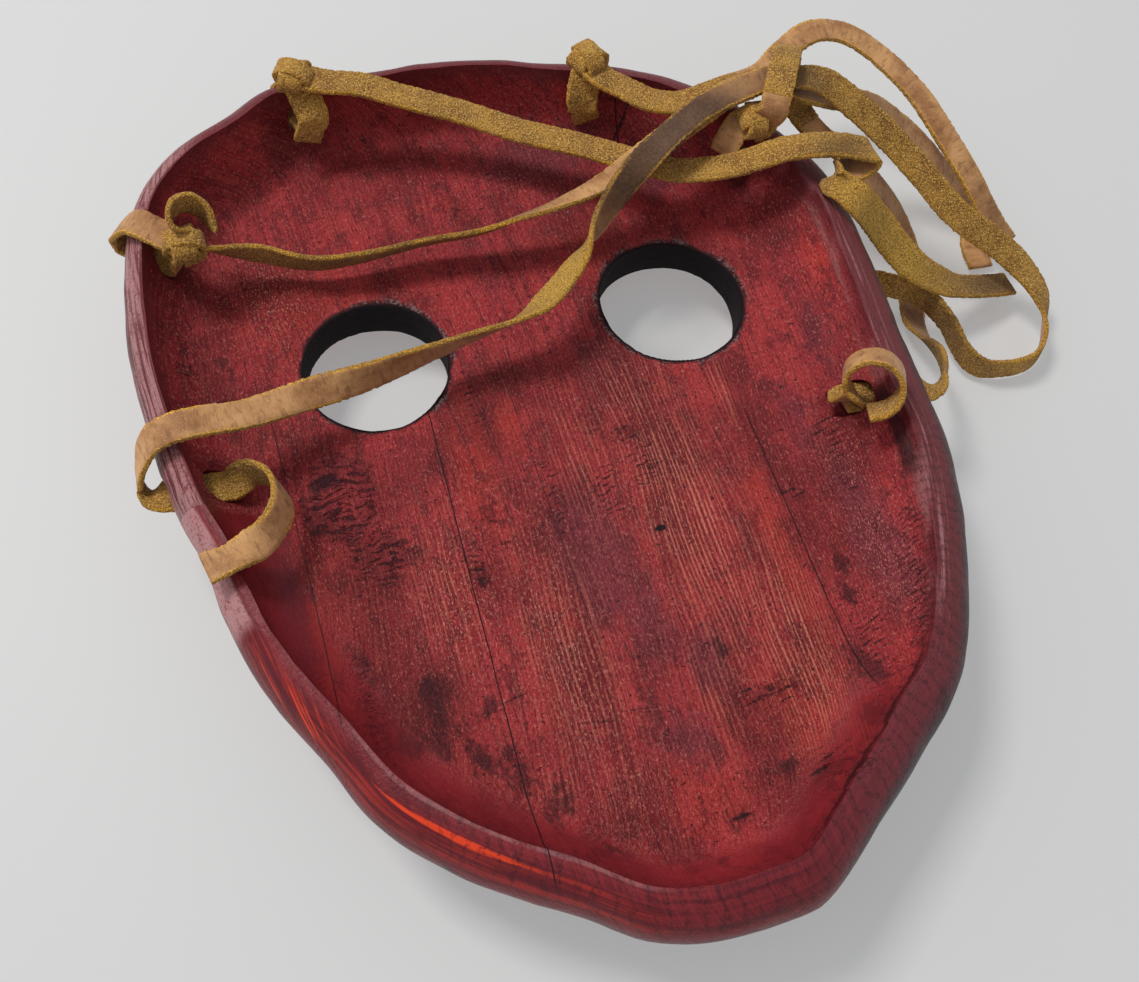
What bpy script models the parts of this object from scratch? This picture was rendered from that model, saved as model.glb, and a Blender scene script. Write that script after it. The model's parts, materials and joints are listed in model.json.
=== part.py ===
"""Wooden folk mask lying on its face, with leather tie thongs gathered over one corner of the rim.

Lengths below are in millimetres. The forehead points to +Y, the chin to -Y and the hollow back faces up.
"""

import math

import bpy
import numpy as np
from mathutils import Quaternion, Vector

MM = 0.001
# Puts the middle of the mask's outline over the origin
SHIFT = (-1.9, -0.35)

# Size of the mask over its rim, and the size that the lists below are drawn at. The rest follows it in plan
MASK_WIDE, MASK_LONG = 245.4, 304.2
DRAWN_WIDE, DRAWN_LONG = 245.4, 304.2

# Rim outline: distance from CENTRE to the widest line of the side, every STEP_DEG degrees from +X
CENTRE = (0.0, 5.0)
STEP_DEG = 15.0
RADII = (123, 129, 141, 145, 145, 142, 147, 153, 159, 154, 138, 124,
         116, 114, 118, 123, 134, 143, 156, 154, 145, 140, 130, 127)
# Rounded lumps left by the gouge along the rim: direction, half width in degrees, how far they stand out
LUMPS = ((81, 4, 1.2), (98, 6, -1.6), (112, 4, 2.6), (118, 5, -1.5), (131, 6, 2.0), (187, 6, -1.2),
         (230, 7, 2.6), (262, 5, 1.8), (280, 4, 2.2), (290, 5, -1.6), (308, 6, 2.0), (331, 9, 2.0),
         (350, 6, -1.5))

# Rim, every 30 degrees from +X: height of the crest, width of the rounded rim, width of the inner slope
RIM_STEP_DEG = 30.0
CREST_Z = (52, 53, 54, 53, 54, 53, 52, 51, 51, 52, 51, 51)
RIM_WIDTH = (15, 14, 9, 7, 8, 9, 9, 11, 13, 14, 15, 15)
SLOPE_WIDTH = (34, 30, 16, 9, 15, 24, 27, 27, 22, 16, 20, 32)
ROLL_DROP = 12.0
SLOPE_POWER = 1.7

# Floor of the hollow and the board left under it
FLOOR_Z = 27.0
FLOOR_DISH = 2.5
WALL_TUCK = 22.0
FACE_MID_Z = 8.0
FACE_EDGE_Z = 19.0

# Features of the hidden face, symmetrical about FACE_X
FACE_X = 4.5
FOREHEAD_Y, FOREHEAD_HALF, FOREHEAD_TALL, FOREHEAD_OUT = 112.0, 70.0, 24.0, 3.0
BROW_Y, BROW_HALF, BROW_OUT, BROW_TALL = 86.0, 50.0, 9.0, 9.0
EYE_HALF_GAP, EYE_Y = 52.0, 49.0
SOCKET_RADIUS, SOCKET_DEPTH = 36.0, 5.0
LID_RADIUS, LID_OUT = 29.0, 3.0
NOSE_TOP_Y, NOSE_TIP_Y, NOSE_END_Y = 74.0, -24.0, -36.0
NOSE_OUT, NOSE_HALF = 12.0, 17.0
WING_OFFSET, WING_OUT = 17.0, 4.5
CHEEK_OFFSET, CHEEK_Y, CHEEK_OUT, CHEEK_HALF, CHEEK_TALL = 64.0, -12.0, 4.0, 30.0, 34.0
MOUTH_Y, MOUTH_HALF, LIP_OUT, LIP_TALL, LIP_RISE = -70.0, 38.0, 6.0, 6.0, 3.0
CHIN_Y, CHIN_OUT, CHIN_HALF, CHIN_TALL = -112.0, 12.0, 32.0, 17.0

# Eye holes: centre, half length, half width, turn of the long axis in degrees
EYES = ((-47.0, 49.5, 24.0, 23.2, 20.0), (57.5, 48.0, 25.0, 23.0, -35.0))
EYE_SIDES = 40
# How far a cutter runs on past the wood
CUT_OVER = 12.0

# Thongs: flat leather, and the round holes they pass through
THONG_WIDTH = 10.0
THONG_THICK = 1.8
FIT_GAP = 0.35
HOLE_SIDES = 14
HOLE_GAP = 0.7
HOLE_DROP = 13.0
# Direction of each hole from CENTRE in degrees
HOLE_LEFT_UPPER, HOLE_LEFT_LOWER = 138.0, 174.5
HOLE_TOP_LEFT, HOLE_TOP_RIGHT = 109.0, 68.0
HOLE_RIGHT_UPPER, HOLE_RIGHT_LOWER = 41.0, 352.0
HOLES = (HOLE_LEFT_UPPER, HOLE_LEFT_LOWER, HOLE_TOP_LEFT, HOLE_TOP_RIGHT, HOLE_RIGHT_UPPER, HOLE_RIGHT_LOWER)

# Free runs of each thong as hand placed points: x, y, height. A fourth to sixth value is the way the broad face looks
LEFT_UPPER_TAIL = ((-98, 99, 60, -0.9, 0.4, 0.3), (-93, 104, 59, -0.3, 1, 0.2), (-88, 103, 55, 0.7, 0.8, 0),
                   (-86, 98, 50, 1, 0.2, 0))
LEFT_UPPER_RUN = ((-90, 94, 48, 0.2, 0.7, 0.6), (-75, 93, 41, 0.25, 0.96, 0.1), (-59, 87, 38, 0.2, 0.95, 0.2),
                  (-43, 85, 38, 0, 0.94, 0.35), (-21, 85, 39, 0, 0.9, 0.45), (-2, 83, 41, 0, 0.85, 0.5),
                  (12, 83, 44, -0.1, 0.8, 0.6), (26, 83, 47, -0.2, 0.65, 0.75), (41, 85, 50, -0.25, 0.4, 0.9),
                  (57, 90, 54, -0.2, 0.1, 1), (77, 97.5, 58), (95, 103.8, 61.5),
                  (110, 105, 62), (119, 99, 60), (134, 98, 53), (151, 99, 46), (164, 93, 38), (177, 83, 28),
                  (188, 75, 17), (196, 65, 8), (193, 55, 3), (192, 45, 2.5))
LEFT_LOWER_TAIL = ((-110, -16, 55.4), (-101, -14, 54.6, 0, 0.3, 1), (-92, -8.5, 50.5, 0.8, -0.4, 0.7),
                   (-86, 1, 46.5, 1, 0.1, 0.4), (-87, 11, 43.5, 0.6, 0.8, -0.1), (-93.5, 16.5, 41, 0, 0.9, -0.5))
LEFT_LOWER_LOOP = ((-125, 21, 38.5, -1, 0, 0), (-122.5, 26, 46, -1, 0, 0.3), (-117, 28, 54, -0.5, 0, 1),
                   (-110, 28.5, 57), (-102, 29, 56))
LEFT_LOWER_RUN = ((-89, 30, 52), (-70, 35, 46, 0.2, -0.4, 0.9), (-51, 38, 43, 0.2, -0.85, 0.5),
                  (-31, 41, 43, 0.1, -1, 0), (-14, 43, 44, 0.1, -0.95, -0.3), (0, 44, 46, 0.25, -0.8, -0.5),
                  (11, 48, 48, 0.4, -0.45, -0.8), (24, 58, 50, 0.6, -0.5, -0.65), (35, 69, 53, 0.6, -0.75, 0.3),
                  (47, 79, 57, 0.25, -0.65, 0.7), (62, 88, 61), (80, 96, 65), (103, 100, 68), (117, 100, 66),
                  (127, 98, 63, -0.1, -0.4, 0.9), (136, 92, 58, -0.2, -0.5, 0.8), (148, 82, 50, -0.25, -0.55, 0.75),
                  (159, 69, 42, -0.3, -0.55, 0.75), (170, 53, 34, -0.3, -0.6, 0.7), (183, 43, 27, -0.25, -0.6, 0.7),
                  (193, 34, 21, -0.1, -0.4, 0.8), (200, 23, 15, 0.3, -0.2, 0.9),
                  (199, 11, 10, 0.9, -0.3, 0.4), (193, 2, 7.5, 0.7, -1, 0.2), (183, -1, 7, 0, -1, 0.1),
                  (169, 2, 7, -0.4, -1, 0.1), (163, 10, 9.5, -1, -0.3, 0.1), (160.5, 21, 13, -1, -0.2, 0.1),
                  (155, 32, 15, -0.7, -0.7, 0.2), (145, 40, 15, -0.3, -1, 0.4), (133, 46, 14, -0.3, -1, 0.8))
TOP_LEFT_TAIL = ((-45, 136, 51, 0, -1, 0.3), (-47, 134.5, 46, 0, -1, 0), (-49, 134, 41, 0, -1, 0))
TOP_LEFT_RUN = ((-38, 141, 59), (-27, 139, 57), (-15, 134, 54), (4, 126, 50), (22, 115, 48), (41, 105, 47),
                (56, 95, 47), (70, 85, 49), (87, 79, 54), (103, 76, 61), (118, 73, 62.5), (129, 69, 62),
                (133.5, 67.5, 59.5, 1, 0, 0), (131, 67, 56.5, 0, 0, -1), (124, 65.5, 56, 0, 0, -1),
                (118, 63.5, 57.8, -1, 0, 0.1), (115.5, 61.5, 58, -0.9, -0.3, 0.7), (117.5, 58.7, 58.5, -0.1, -0.4, 0.9),
                (123, 52.7, 56, -0.1, -0.45, 0.85), (133.5, 49, 44, -0.1, -0.5, 0.8), (140, 44, 36.5, -0.1, -0.6, 0.75),
                (147, 38, 30.5, 0, -0.6, 0.75), (157, 34, 24, 0, -0.4, 0.9), (170, 32, 17), (186, 32, 11), (196, 33, 7))
TOP_RIGHT_TAIL = ((46, 122.5, 51, 0, -1, 0.3), (47.5, 121, 45.5, 0, -1, 0), (49, 120.5, 40, 0, -1, 0))
TOP_RIGHT_RUN = ((53, 123, 58.5), (60, 117, 57), (68, 110.5, 56), (78, 107, 56), (89, 108, 57), (100, 111, 55.5),
                 (110, 116, 50.5), (119, 122, 46.5), (128, 129, 45), (140, 135, 46), (149, 135, 46),
                 (158, 131, 45), (168, 120, 42), (176, 104, 39), (181, 87, 35), (187, 70, 28.5),
                 (193, 56, 20), (198, 46, 15))
RIGHT_LOWER_RUN = ((137, -8, 30, 0.7, -0.7, 0.3), (146, 3, 22, 0.8, -0.5, 0.5), (150, 15, 12, 0.6, -0.3, 1),
                   (153, 27, 5, 0.3, -0.1, 1), (158, 39, 3.5), (162, 50, 5), (161, 60, 12), (155, 68, 23),
                   (144, 76, 35), (133, 84, 43), (124, 92, 48), (121, 102, 50), (122, 111, 51.5),
                   (121.5, 116, 57, 0.5, 0.8, 0.1), (118, 113.5, 66, 0.3, 0.7, 0.7), (112, 105, 72.5),
                   (106.5, 96, 73), (103, 90, 71, -0.3, -0.6, 0.8), (101, 87, 66, -0.4, -0.8, 0.2))
# Curled end of the right thong: its middle, radius and rise, where it starts and how far it turns in degrees, its line
CURL_MIDDLE, CURL_RADIUS, CURL_RISE = (98.5, -12.5, 56), 8.5, 6.5
CURL_START, CURL_TURN = -78.0, 330.0
CURL_LINE = (-0.52, -0.74, 0.52)
KNOT_LEFT_UPPER, KNOT_GATHER = (-96.0, 93.0, 53.0), (98.0, 90.4, 60.5)
KNOT_ROUND, KNOT_LIFT = (8.0, 6.5, 4.6), 5.6
GATHER_TAIL = ((93, 91.5, 58.5, -0.3, -0.3, 0.9), (90, 90, 55, -0.6, -0.6, 0.2), (87.5, 88, 49, -0.8, -0.6, 0))

# Mesh steps, and the share of the face length that the middle line of its grid takes
TURNS = 72
TURN_EVENING = 0.15
FLOOR_RINGS = (0.25, 0.6, 1.0)
SLOPE_RINGS = (0.32, 0.56, 0.76, 0.9, 1.0)
ROLL_RINGS = (22, 48, 72, 90)
WALL_RINGS = (30, 60, 90)
FACE_RINGS = tuple(1 - (step + 1) / 19 for step in range(18))
FACE_LINE_SHARE = 0.72
THONG_STEP = 7.0
MOST_THONG_POINTS = 78


def around(values, step, degrees):
    """Smooth closed curve through the values, read at the given directions."""
    values = np.asarray(values, float)
    place = np.asarray(degrees, float) / step
    low = np.floor(place).astype(int)
    part = place - low
    count = len(values)
    before, here = values[(low - 1) % count], values[low % count]
    after, later = values[(low + 1) % count], values[(low + 2) % count]
    return here + 0.5 * part * (
        after - before
        + part * (2 * before - 5 * here + 4 * after - later + part * (3 * (here - after) + later - before))
    )


def bell(distance, width):
    return np.exp(-(distance / width) ** 2)


def rim_radius(degrees):
    radius = around(RADII, STEP_DEG, degrees)
    for middle, half, out in LUMPS:
        away = (np.asarray(degrees, float) - middle + 180) % 360 - 180
        radius = radius + out * bell(away, half)
    return radius


def section(degrees):
    """Widest radius, crest radius, crest height and floor radius in the given directions."""
    wide = rim_radius(degrees)
    crest = wide - around(RIM_WIDTH, RIM_STEP_DEG, degrees)
    floor = crest - around(SLOPE_WIDTH, RIM_STEP_DEG, degrees)
    return wide, crest, around(CREST_Z, RIM_STEP_DEG, degrees), floor


def place(degrees, radius):
    turn = np.radians(degrees)
    return CENTRE[0] + radius * np.cos(turn), CENTRE[1] + radius * np.sin(turn)


def floor_height(share):
    return FLOOR_Z + FLOOR_DISH * share ** 2


def slope_off(distance, soft):
    """One below zero and nothing above it, with a soft step between."""
    return 1 / (1 + np.exp(np.clip(distance / soft, -40, 40)))


def face_height(x, y, share):
    """Height of the carved face over the table, where 0 is what the mask rests on."""
    side = np.abs(x - FACE_X)
    height = FACE_MID_Z + (FACE_EDGE_Z - FACE_MID_Z) * share ** 4
    height = height - FOREHEAD_OUT * bell(side, FOREHEAD_HALF) * bell(y - FOREHEAD_Y, FOREHEAD_TALL)
    eye = np.hypot(side - EYE_HALF_GAP, y - EYE_Y)
    height = height + SOCKET_DEPTH * bell(eye, SOCKET_RADIUS)
    arch = BROW_Y - 0.005 * (side - BROW_HALF) ** 2
    brow = bell(y - arch, BROW_TALL) * slope_off(side - 1.6 * BROW_HALF, 5) * (1 - 0.3 * bell(side, 14))
    height = height - BROW_OUT * brow
    height = height - LID_OUT * bell(eye - LID_RADIUS, 4)
    along = np.clip((NOSE_TOP_Y - y) / (NOSE_TOP_Y - NOSE_TIP_Y), 0, 1)
    rise = NOSE_OUT * (0.4 + 0.6 * along ** 1.2)
    ends = slope_off(NOSE_END_Y - y, 1.5) * slope_off(y - NOSE_TOP_Y, 4)
    across = np.clip(1 - side / (NOSE_HALF * (0.7 + 0.5 * along)), 0, 1)
    height = height - rise * ends * across ** 0.8
    wing = np.hypot(side - WING_OFFSET, (y - NOSE_TIP_Y + 2) * 0.9)
    height = height - WING_OUT * bell(wing, 8)
    cheek = np.hypot((side - CHEEK_OFFSET) / CHEEK_HALF, (y - CHEEK_Y) / CHEEK_TALL)
    height = height - CHEEK_OUT * bell(cheek, 1)
    bow = y - MOUTH_Y - 0.0022 * side ** 2
    lips = bell(bow - 1.2 * LIP_TALL, LIP_TALL) + bell(bow + 1.3 * LIP_TALL, 1.15 * LIP_TALL)
    height = height - LIP_RISE * bell(side, 46) * bell(y - MOUTH_Y, 22)
    height = height - LIP_OUT * lips * slope_off(side - MOUTH_HALF, 3)
    chin = np.hypot((x - FACE_X) / CHIN_HALF, (y - CHIN_Y) / CHIN_TALL)
    height = height - CHIN_OUT * bell(chin, 1)
    return np.maximum(height, 0.0)


def turn_degrees():
    """Directions of the points of a ring, closer together at the sides than at forehead and chin."""
    even = np.arange(TURNS) * 360.0 / TURNS
    return even - np.degrees(TURN_EVENING) * np.sin(2 * np.radians(even))


def mask_rings():
    """Rings of points from the middle of the hollow, over the rim and in to the middle line of the face."""
    degrees = turn_degrees()
    wide, crest, crest_z, floor = section(degrees)
    rings = []
    for share in FLOOR_RINGS:
        rings.append((*place(degrees, floor * share), floor_height(share) + 0 * degrees))
    for share in SLOPE_RINGS:
        climb = 1 - (1 - share ** SLOPE_POWER) ** (1 / SLOPE_POWER)
        height = floor_height(1.0) + (crest_z - floor_height(1.0)) * climb
        rings.append((*place(degrees, floor + (crest - floor) * share), height))
    for turn in ROLL_RINGS:
        sine, cosine = math.sin(math.radians(turn)), math.cos(math.radians(turn))
        rings.append((*place(degrees, crest + (wide - crest) * sine), crest_z - ROLL_DROP * (1 - cosine)))
    edge_x, edge_y = place(degrees, wide - WALL_TUCK)
    edge_z = face_height(edge_x, edge_y, 1.0)
    wide_z = crest_z - ROLL_DROP
    for turn in WALL_RINGS:
        sine, cosine = math.sin(math.radians(turn)), math.cos(math.radians(turn))
        rings.append((*place(degrees, wide - WALL_TUCK * (1 - cosine)), wide_z - (wide_z - edge_z) * sine))
    opposite = (TURNS // 2 - np.arange(TURNS)) % TURNS
    line_y = FACE_LINE_SHARE * (edge_y + edge_y[opposite]) / 2
    for share in FACE_RINGS:
        x = FACE_X + (edge_x - FACE_X) * share
        y = line_y + (edge_y - line_y) * share
        rings.append((x, y, face_height(x, y, share)))
    return rings


def new_object(name, points, faces, material=None):
    """A mesh object from points in millimetres, stretched in plan to the size of the mask."""
    mesh = bpy.data.meshes.new(name)
    rows = np.asarray(points, float) * (MASK_WIDE / DRAWN_WIDE, MASK_LONG / DRAWN_LONG, 1)
    mesh.from_pydata((rows * MM).tolist(), [], faces)
    mesh.update()
    made = bpy.data.objects.new(name, mesh)
    made.location = (SHIFT[0] * MM, SHIFT[1] * MM, 0)
    bpy.context.scene.collection.objects.link(made)
    if material:
        mesh.materials.append(material)
    return made


def make_material(name, colour, roughness):
    material = bpy.data.materials.new(name)
    material.use_nodes = True
    shader = material.node_tree.nodes["Principled BSDF"]
    shader.inputs["Base Color"].default_value = (*colour, 1.0)
    shader.inputs["Roughness"].default_value = roughness
    return material


def make_mask(material):
    rings = mask_rings()
    points = [(CENTRE[0], CENTRE[1], floor_height(0.0))]
    for x, y, height in rings:
        points.extend(zip(x, y, height))
    faces = []
    last = 1 + (len(rings) - 1) * TURNS
    for turn in range(TURNS):
        beside = (turn + 1) % TURNS
        faces.append((0, 1 + turn, 1 + beside))
        for ring in range(len(rings) - 1):
            near, far = 1 + ring * TURNS, 1 + (ring + 1) * TURNS
            faces.append((near + turn, far + turn, far + beside, near + beside))
    # The last ring is a narrow slit up the middle of the face, closed from its right side to its left
    quarter = TURNS // 4
    for step in range(-quarter, quarter):
        right, above = last + step % TURNS, last + (step + 1) % TURNS
        left, above_left = last + (TURNS // 2 - step) % TURNS, last + (TURNS // 2 - step - 1) % TURNS
        corners = [right, left, above_left, above]
        faces.append(tuple(dict.fromkeys(corners)))
    return new_object("mask_body", points, faces, material)


def prism(name, start, end, half_wide, half_tall, sides, turn_of=0.0):
    """A straight rod with an oval section, used as a cutter."""
    start, end = Vector(start), Vector(end)
    along = (end - start).normalized()
    across = Vector((0, 0, 1)).cross(along)
    across = across.normalized() if across.length > 0.01 else Vector((1, 0, 0))
    across.rotate(Quaternion(along, math.radians(turn_of)))
    up = along.cross(across)
    points = []
    for middle in (start, end):
        for side in range(sides):
            turn = 2 * math.pi * side / sides
            points.append(tuple(middle + across * half_wide * math.cos(turn) + up * half_tall * math.sin(turn)))
    faces = [tuple(reversed(range(sides))), tuple(range(sides, 2 * sides))]
    for side in range(sides):
        beside = (side + 1) % sides
        faces.append((side, beside, sides + beside, sides + side))
    made = new_object(name, points, faces)
    made.hide_render = True
    made.display_type = "WIRE"
    return made


def cut(target, cutter):
    modifier = target.modifiers.new(cutter.name, "BOOLEAN")
    modifier.operation = "DIFFERENCE"
    modifier.solver = "EXACT"
    modifier.object = cutter


def cut_eyes(mask):
    for number, (x, y, half_long, half_wide, turn) in enumerate(EYES):
        start, end = (x, y, -CUT_OVER), (x, y, max(CREST_Z) + CUT_OVER)
        cut(mask, prism(f"eye_cutter_{number}", start, end, half_long, half_wide, EYE_SIDES, turn))


def hole_facts(direction):
    """Inner mouth radius, outer radius and height of a strap hole."""
    wide, crest, crest_z, floor = (float(value) for value in section(direction))
    height = crest_z - HOLE_DROP
    climb = (height - floor_height(1.0)) / (crest_z - floor_height(1.0))
    share = (1 - (1 - climb) ** SLOPE_POWER) ** (1 / SLOPE_POWER)
    return floor + (crest - floor) * share, wide, height


def cut_holes(mask):
    radius = math.hypot(THONG_WIDTH, THONG_THICK) / 2 + HOLE_GAP
    for number, direction in enumerate(HOLES):
        inner, outer, height = hole_facts(direction)
        start, end = (*place(direction, inner - CUT_OVER), height), (*place(direction, outer + CUT_OVER), height)
        cut(mask, prism(f"hole_cutter_{number}", start, end, radius, radius, HOLE_SIDES))


def rim_points(direction, profile):
    """Places points given as radius, height and the broad face's outward and upward share."""
    turn = math.radians(direction)
    out = (math.cos(turn), math.sin(turn))
    return [(*place(direction, radius), height, out[0] * level, out[1] * level, up)
            for radius, height, level, up in profile]


def through_hole(direction):
    """Points from inside the rim straight out through its hole."""
    inner, outer, height = hole_facts(direction)
    middle = (inner + outer) / 2
    return rim_points(direction, [(radius, height, 0, -1) for radius in (inner - 3, inner + 2, middle, outer + 1.5)])


def rim_wrap(direction):
    """Points over the crest from inside, down the outer side and back in through the hole."""
    wide, crest, crest_z, floor = (float(value) for value in section(direction))
    inner, outer, height = hole_facts(direction)
    lift = THONG_THICK / 2 + FIT_GAP + 0.9
    profile = [
        (crest - 3, crest_z + lift + 0.4, 0, 1),
        (crest + 0.45 * (wide - crest), crest_z + lift - 0.2, 0.3, 1),
        (wide + 0.95 * lift, crest_z - 0.5 * ROLL_DROP, 0.9, 0.4),
        (wide + lift + 0.6, height + 5, 1, 0),
        (wide + lift + 0.1, height + 1.4, 0.8, -0.6),
    ]
    wrap = rim_points(direction, profile) + through_hole(direction)[::-1]
    return wrap + rim_points(direction, [(inner - 5.5, height + 2, -0.8, -0.5), (inner - 6.5, height + 6, -1, 0)])


def curl_points():
    """Points round the curled end, from its cut end inwards."""
    middle, line = Vector(CURL_MIDDLE), Vector(CURL_LINE).normalized()
    side = Vector((0, 0, 1)).cross(line).normalized()
    other = line.cross(side)
    points = []
    steps = 10
    for step in range(steps):
        part = step / (steps - 1)
        turn = math.radians(CURL_START + CURL_TURN * part)
        out = side * math.cos(turn) + other * math.sin(turn)
        reach = CURL_RADIUS * (1.0 + 0.1 * (1 - part))
        points.append((*(middle + out * reach + line * CURL_RISE * (0.5 - part)), *out))
    return points


def smooth(points):
    """Evenly spaced points and face directions along a smooth curve through the given ones."""
    rows = np.array([tuple(p) + ((0, 0, 1) if len(p) == 3 else ()) for p in points], float)
    rows = np.vstack([2 * rows[0] - rows[1], rows, 2 * rows[-1] - rows[-2]])
    fine = []
    for before, here, after, later in zip(rows, rows[1:], rows[2:], rows[3:]):
        for part in np.linspace(0, 1, 16, endpoint=False):
            fine.append(here + 0.5 * part * (after - before + part * (
                2 * before - 5 * here + 4 * after - later + part * (3 * (here - after) + later - before))))
    fine.append(rows[-2])
    fine = np.array(fine)
    length = np.concatenate([[0], np.cumsum(np.linalg.norm(np.diff(fine[:, :3], axis=0), axis=1))])
    turning = np.linalg.norm(np.diff(fine[:, :3], 2, axis=0), axis=1)
    closeness = 1 + np.concatenate([[0], turning, [0]]) / (np.diff(length).mean() * 0.06)
    weight = np.concatenate([[0], np.cumsum(np.diff(length) * (closeness[1:] + closeness[:-1]) / 2)])
    count = int(min(MOST_THONG_POINTS, weight[-1] / THONG_STEP / 1.6 + 8))
    wanted = np.linspace(0, weight[-1], count)
    rows = np.stack([np.interp(wanted, weight, column) for column in fine.T], axis=1)
    return rows[:, :3], rows[:, 3:]


def ribbon(name, points, material=None):
    """A flat strip with square edges swept along a smooth curve."""
    path, facing = smooth(points)
    along = np.gradient(path, axis=0)
    along /= np.linalg.norm(along, axis=1)[:, None]
    across = np.cross(along, facing)
    across /= np.linalg.norm(across, axis=1)[:, None]
    normal = np.cross(across, along)
    corners = []
    for middle, side, up in zip(path, across, normal):
        for left, above in ((-1, -1), (1, -1), (1, 1), (-1, 1)):
            corners.append(middle + side * left * THONG_WIDTH / 2 + up * above * THONG_THICK / 2)
    faces = [(0, 1, 2, 3)]
    for step in range(len(path) - 1):
        near, far = 4 * step, 4 * step + 4
        for corner in range(4):
            beside = (corner + 1) % 4
            faces.append((near + corner, far + corner, far + beside, near + beside))
    faces.append(tuple(4 * (len(path) - 1) + corner for corner in (3, 2, 1, 0)))
    return new_object(name, corners, faces, material)


def lump(name, middle, direction):
    """A closed rounded lump that stands for a pulled tight knot."""
    long, wide, tall = KNOT_ROUND
    turn = math.radians(direction)
    points, faces = [], []
    rows, columns = 5, 10
    for row in range(1, rows):
        polar = math.pi * row / rows
        for column in range(columns):
            around_it = 2 * math.pi * column / columns
            swell = 1 + 0.1 * math.cos(3 * around_it + row)
            x, y = wide * swell * math.sin(polar) * math.cos(around_it), long * swell * math.sin(polar) * math.sin(around_it)
            points.append((middle[0] + x * math.cos(turn) - y * math.sin(turn),
                           middle[1] + x * math.sin(turn) + y * math.cos(turn),
                           middle[2] + tall * math.cos(polar)))
    top, bottom = len(points), len(points) + 1
    points += [(middle[0], middle[1], middle[2] + tall), (middle[0], middle[1], middle[2] - tall)]
    for column in range(columns):
        beside = (column + 1) % columns
        faces.append((top, column, beside))
        for row in range(rows - 2):
            near, far = row * columns, (row + 1) * columns
            faces.append((near + column, far + column, far + beside, near + beside))
        low = (rows - 2) * columns
        faces.append((low + column, bottom, low + beside))
    return new_object(name, points, faces)


def join(target, pieces):
    """Joins pieces that overlap into one solid."""
    for piece in pieces:
        modifier = target.modifiers.new(piece.name, "BOOLEAN")
        modifier.operation = "UNION"
        modifier.solver = "MANIFOLD"
        modifier.object = piece
        piece.hide_render = True
        piece.display_type = "WIRE"


def tied_thong(name, material, direction, knot, run, tail, knot_inside):
    """A thong knotted round the rim: it goes over the crest, in through its hole and back to the knot."""
    start = (*knot, 0, 0, 1)
    inward = (-math.cos(math.radians(direction)), -math.sin(math.radians(direction)))
    main_run = ribbon(name, [start, *run], material)
    over = rim_wrap(direction)[0 if knot_inside else 1:]
    wrap = ribbon(f"{name}_wrap", [start, *over, (knot[0], knot[1], knot[2] - 1, *inward, 0.3)])
    end = ribbon(f"{name}_tail", [start, *tail])
    join(main_run, [lump(f"{name}_knot", knot, direction), wrap, end])
    return main_run


def make_thongs(leather):
    crest_knots = []
    for direction in (HOLE_TOP_LEFT, HOLE_TOP_RIGHT):
        wide, crest, crest_z, floor = (float(value) for value in section(direction))
        crest_knots.append((*place(direction, crest), crest_z + KNOT_LIFT))
    tied_thong("thong_left_upper", leather, HOLE_LEFT_UPPER, KNOT_LEFT_UPPER, LEFT_UPPER_RUN,
               LEFT_UPPER_TAIL, True)
    tied_thong("thong_top_left", leather, HOLE_TOP_LEFT, crest_knots[0], TOP_LEFT_RUN, TOP_LEFT_TAIL, False)
    tied_thong("thong_top_right", leather, HOLE_TOP_RIGHT, crest_knots[1], TOP_RIGHT_RUN,
               TOP_RIGHT_TAIL, False)
    lower = [*LEFT_LOWER_TAIL, *through_hole(HOLE_LEFT_LOWER), *LEFT_LOWER_LOOP, *LEFT_LOWER_RUN]
    ribbon("thong_left_lower", lower, leather)
    right = [*curl_points(), *through_hole(HOLE_RIGHT_LOWER), *RIGHT_LOWER_RUN]
    gathered = ribbon("thong_right", [*right, (*KNOT_GATHER, -0.5, -0.8, 0)], leather)
    end = ribbon("thong_right_tail", [(*KNOT_GATHER, 0, 0, 1), *GATHER_TAIL])
    join(gathered, [lump("thong_right_knot", KNOT_GATHER, HOLE_RIGHT_UPPER), end])


def main():
    for old in list(bpy.data.objects):
        bpy.data.objects.remove(old, do_unlink=True)
    wood = make_material("stained_pine", (0.22, 0.025, 0.02), 0.42)
    leather = make_material("tan_leather", (0.45, 0.26, 0.06), 0.75)
    mask = make_mask(wood)
    cut_eyes(mask)
    cut_holes(mask)
    make_thongs(leather)


main()
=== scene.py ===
"""Looks of the wooden folk mask: carved and stained pine, leather thongs, a pale table and soft light.

Lengths in the shape functions are in millimetres in the mask's own frame, and SHIFT moves them to
the row frame.
"""

import json
import math

import bpy
import numpy as np
from mathutils import Matrix, Vector, noise

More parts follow.
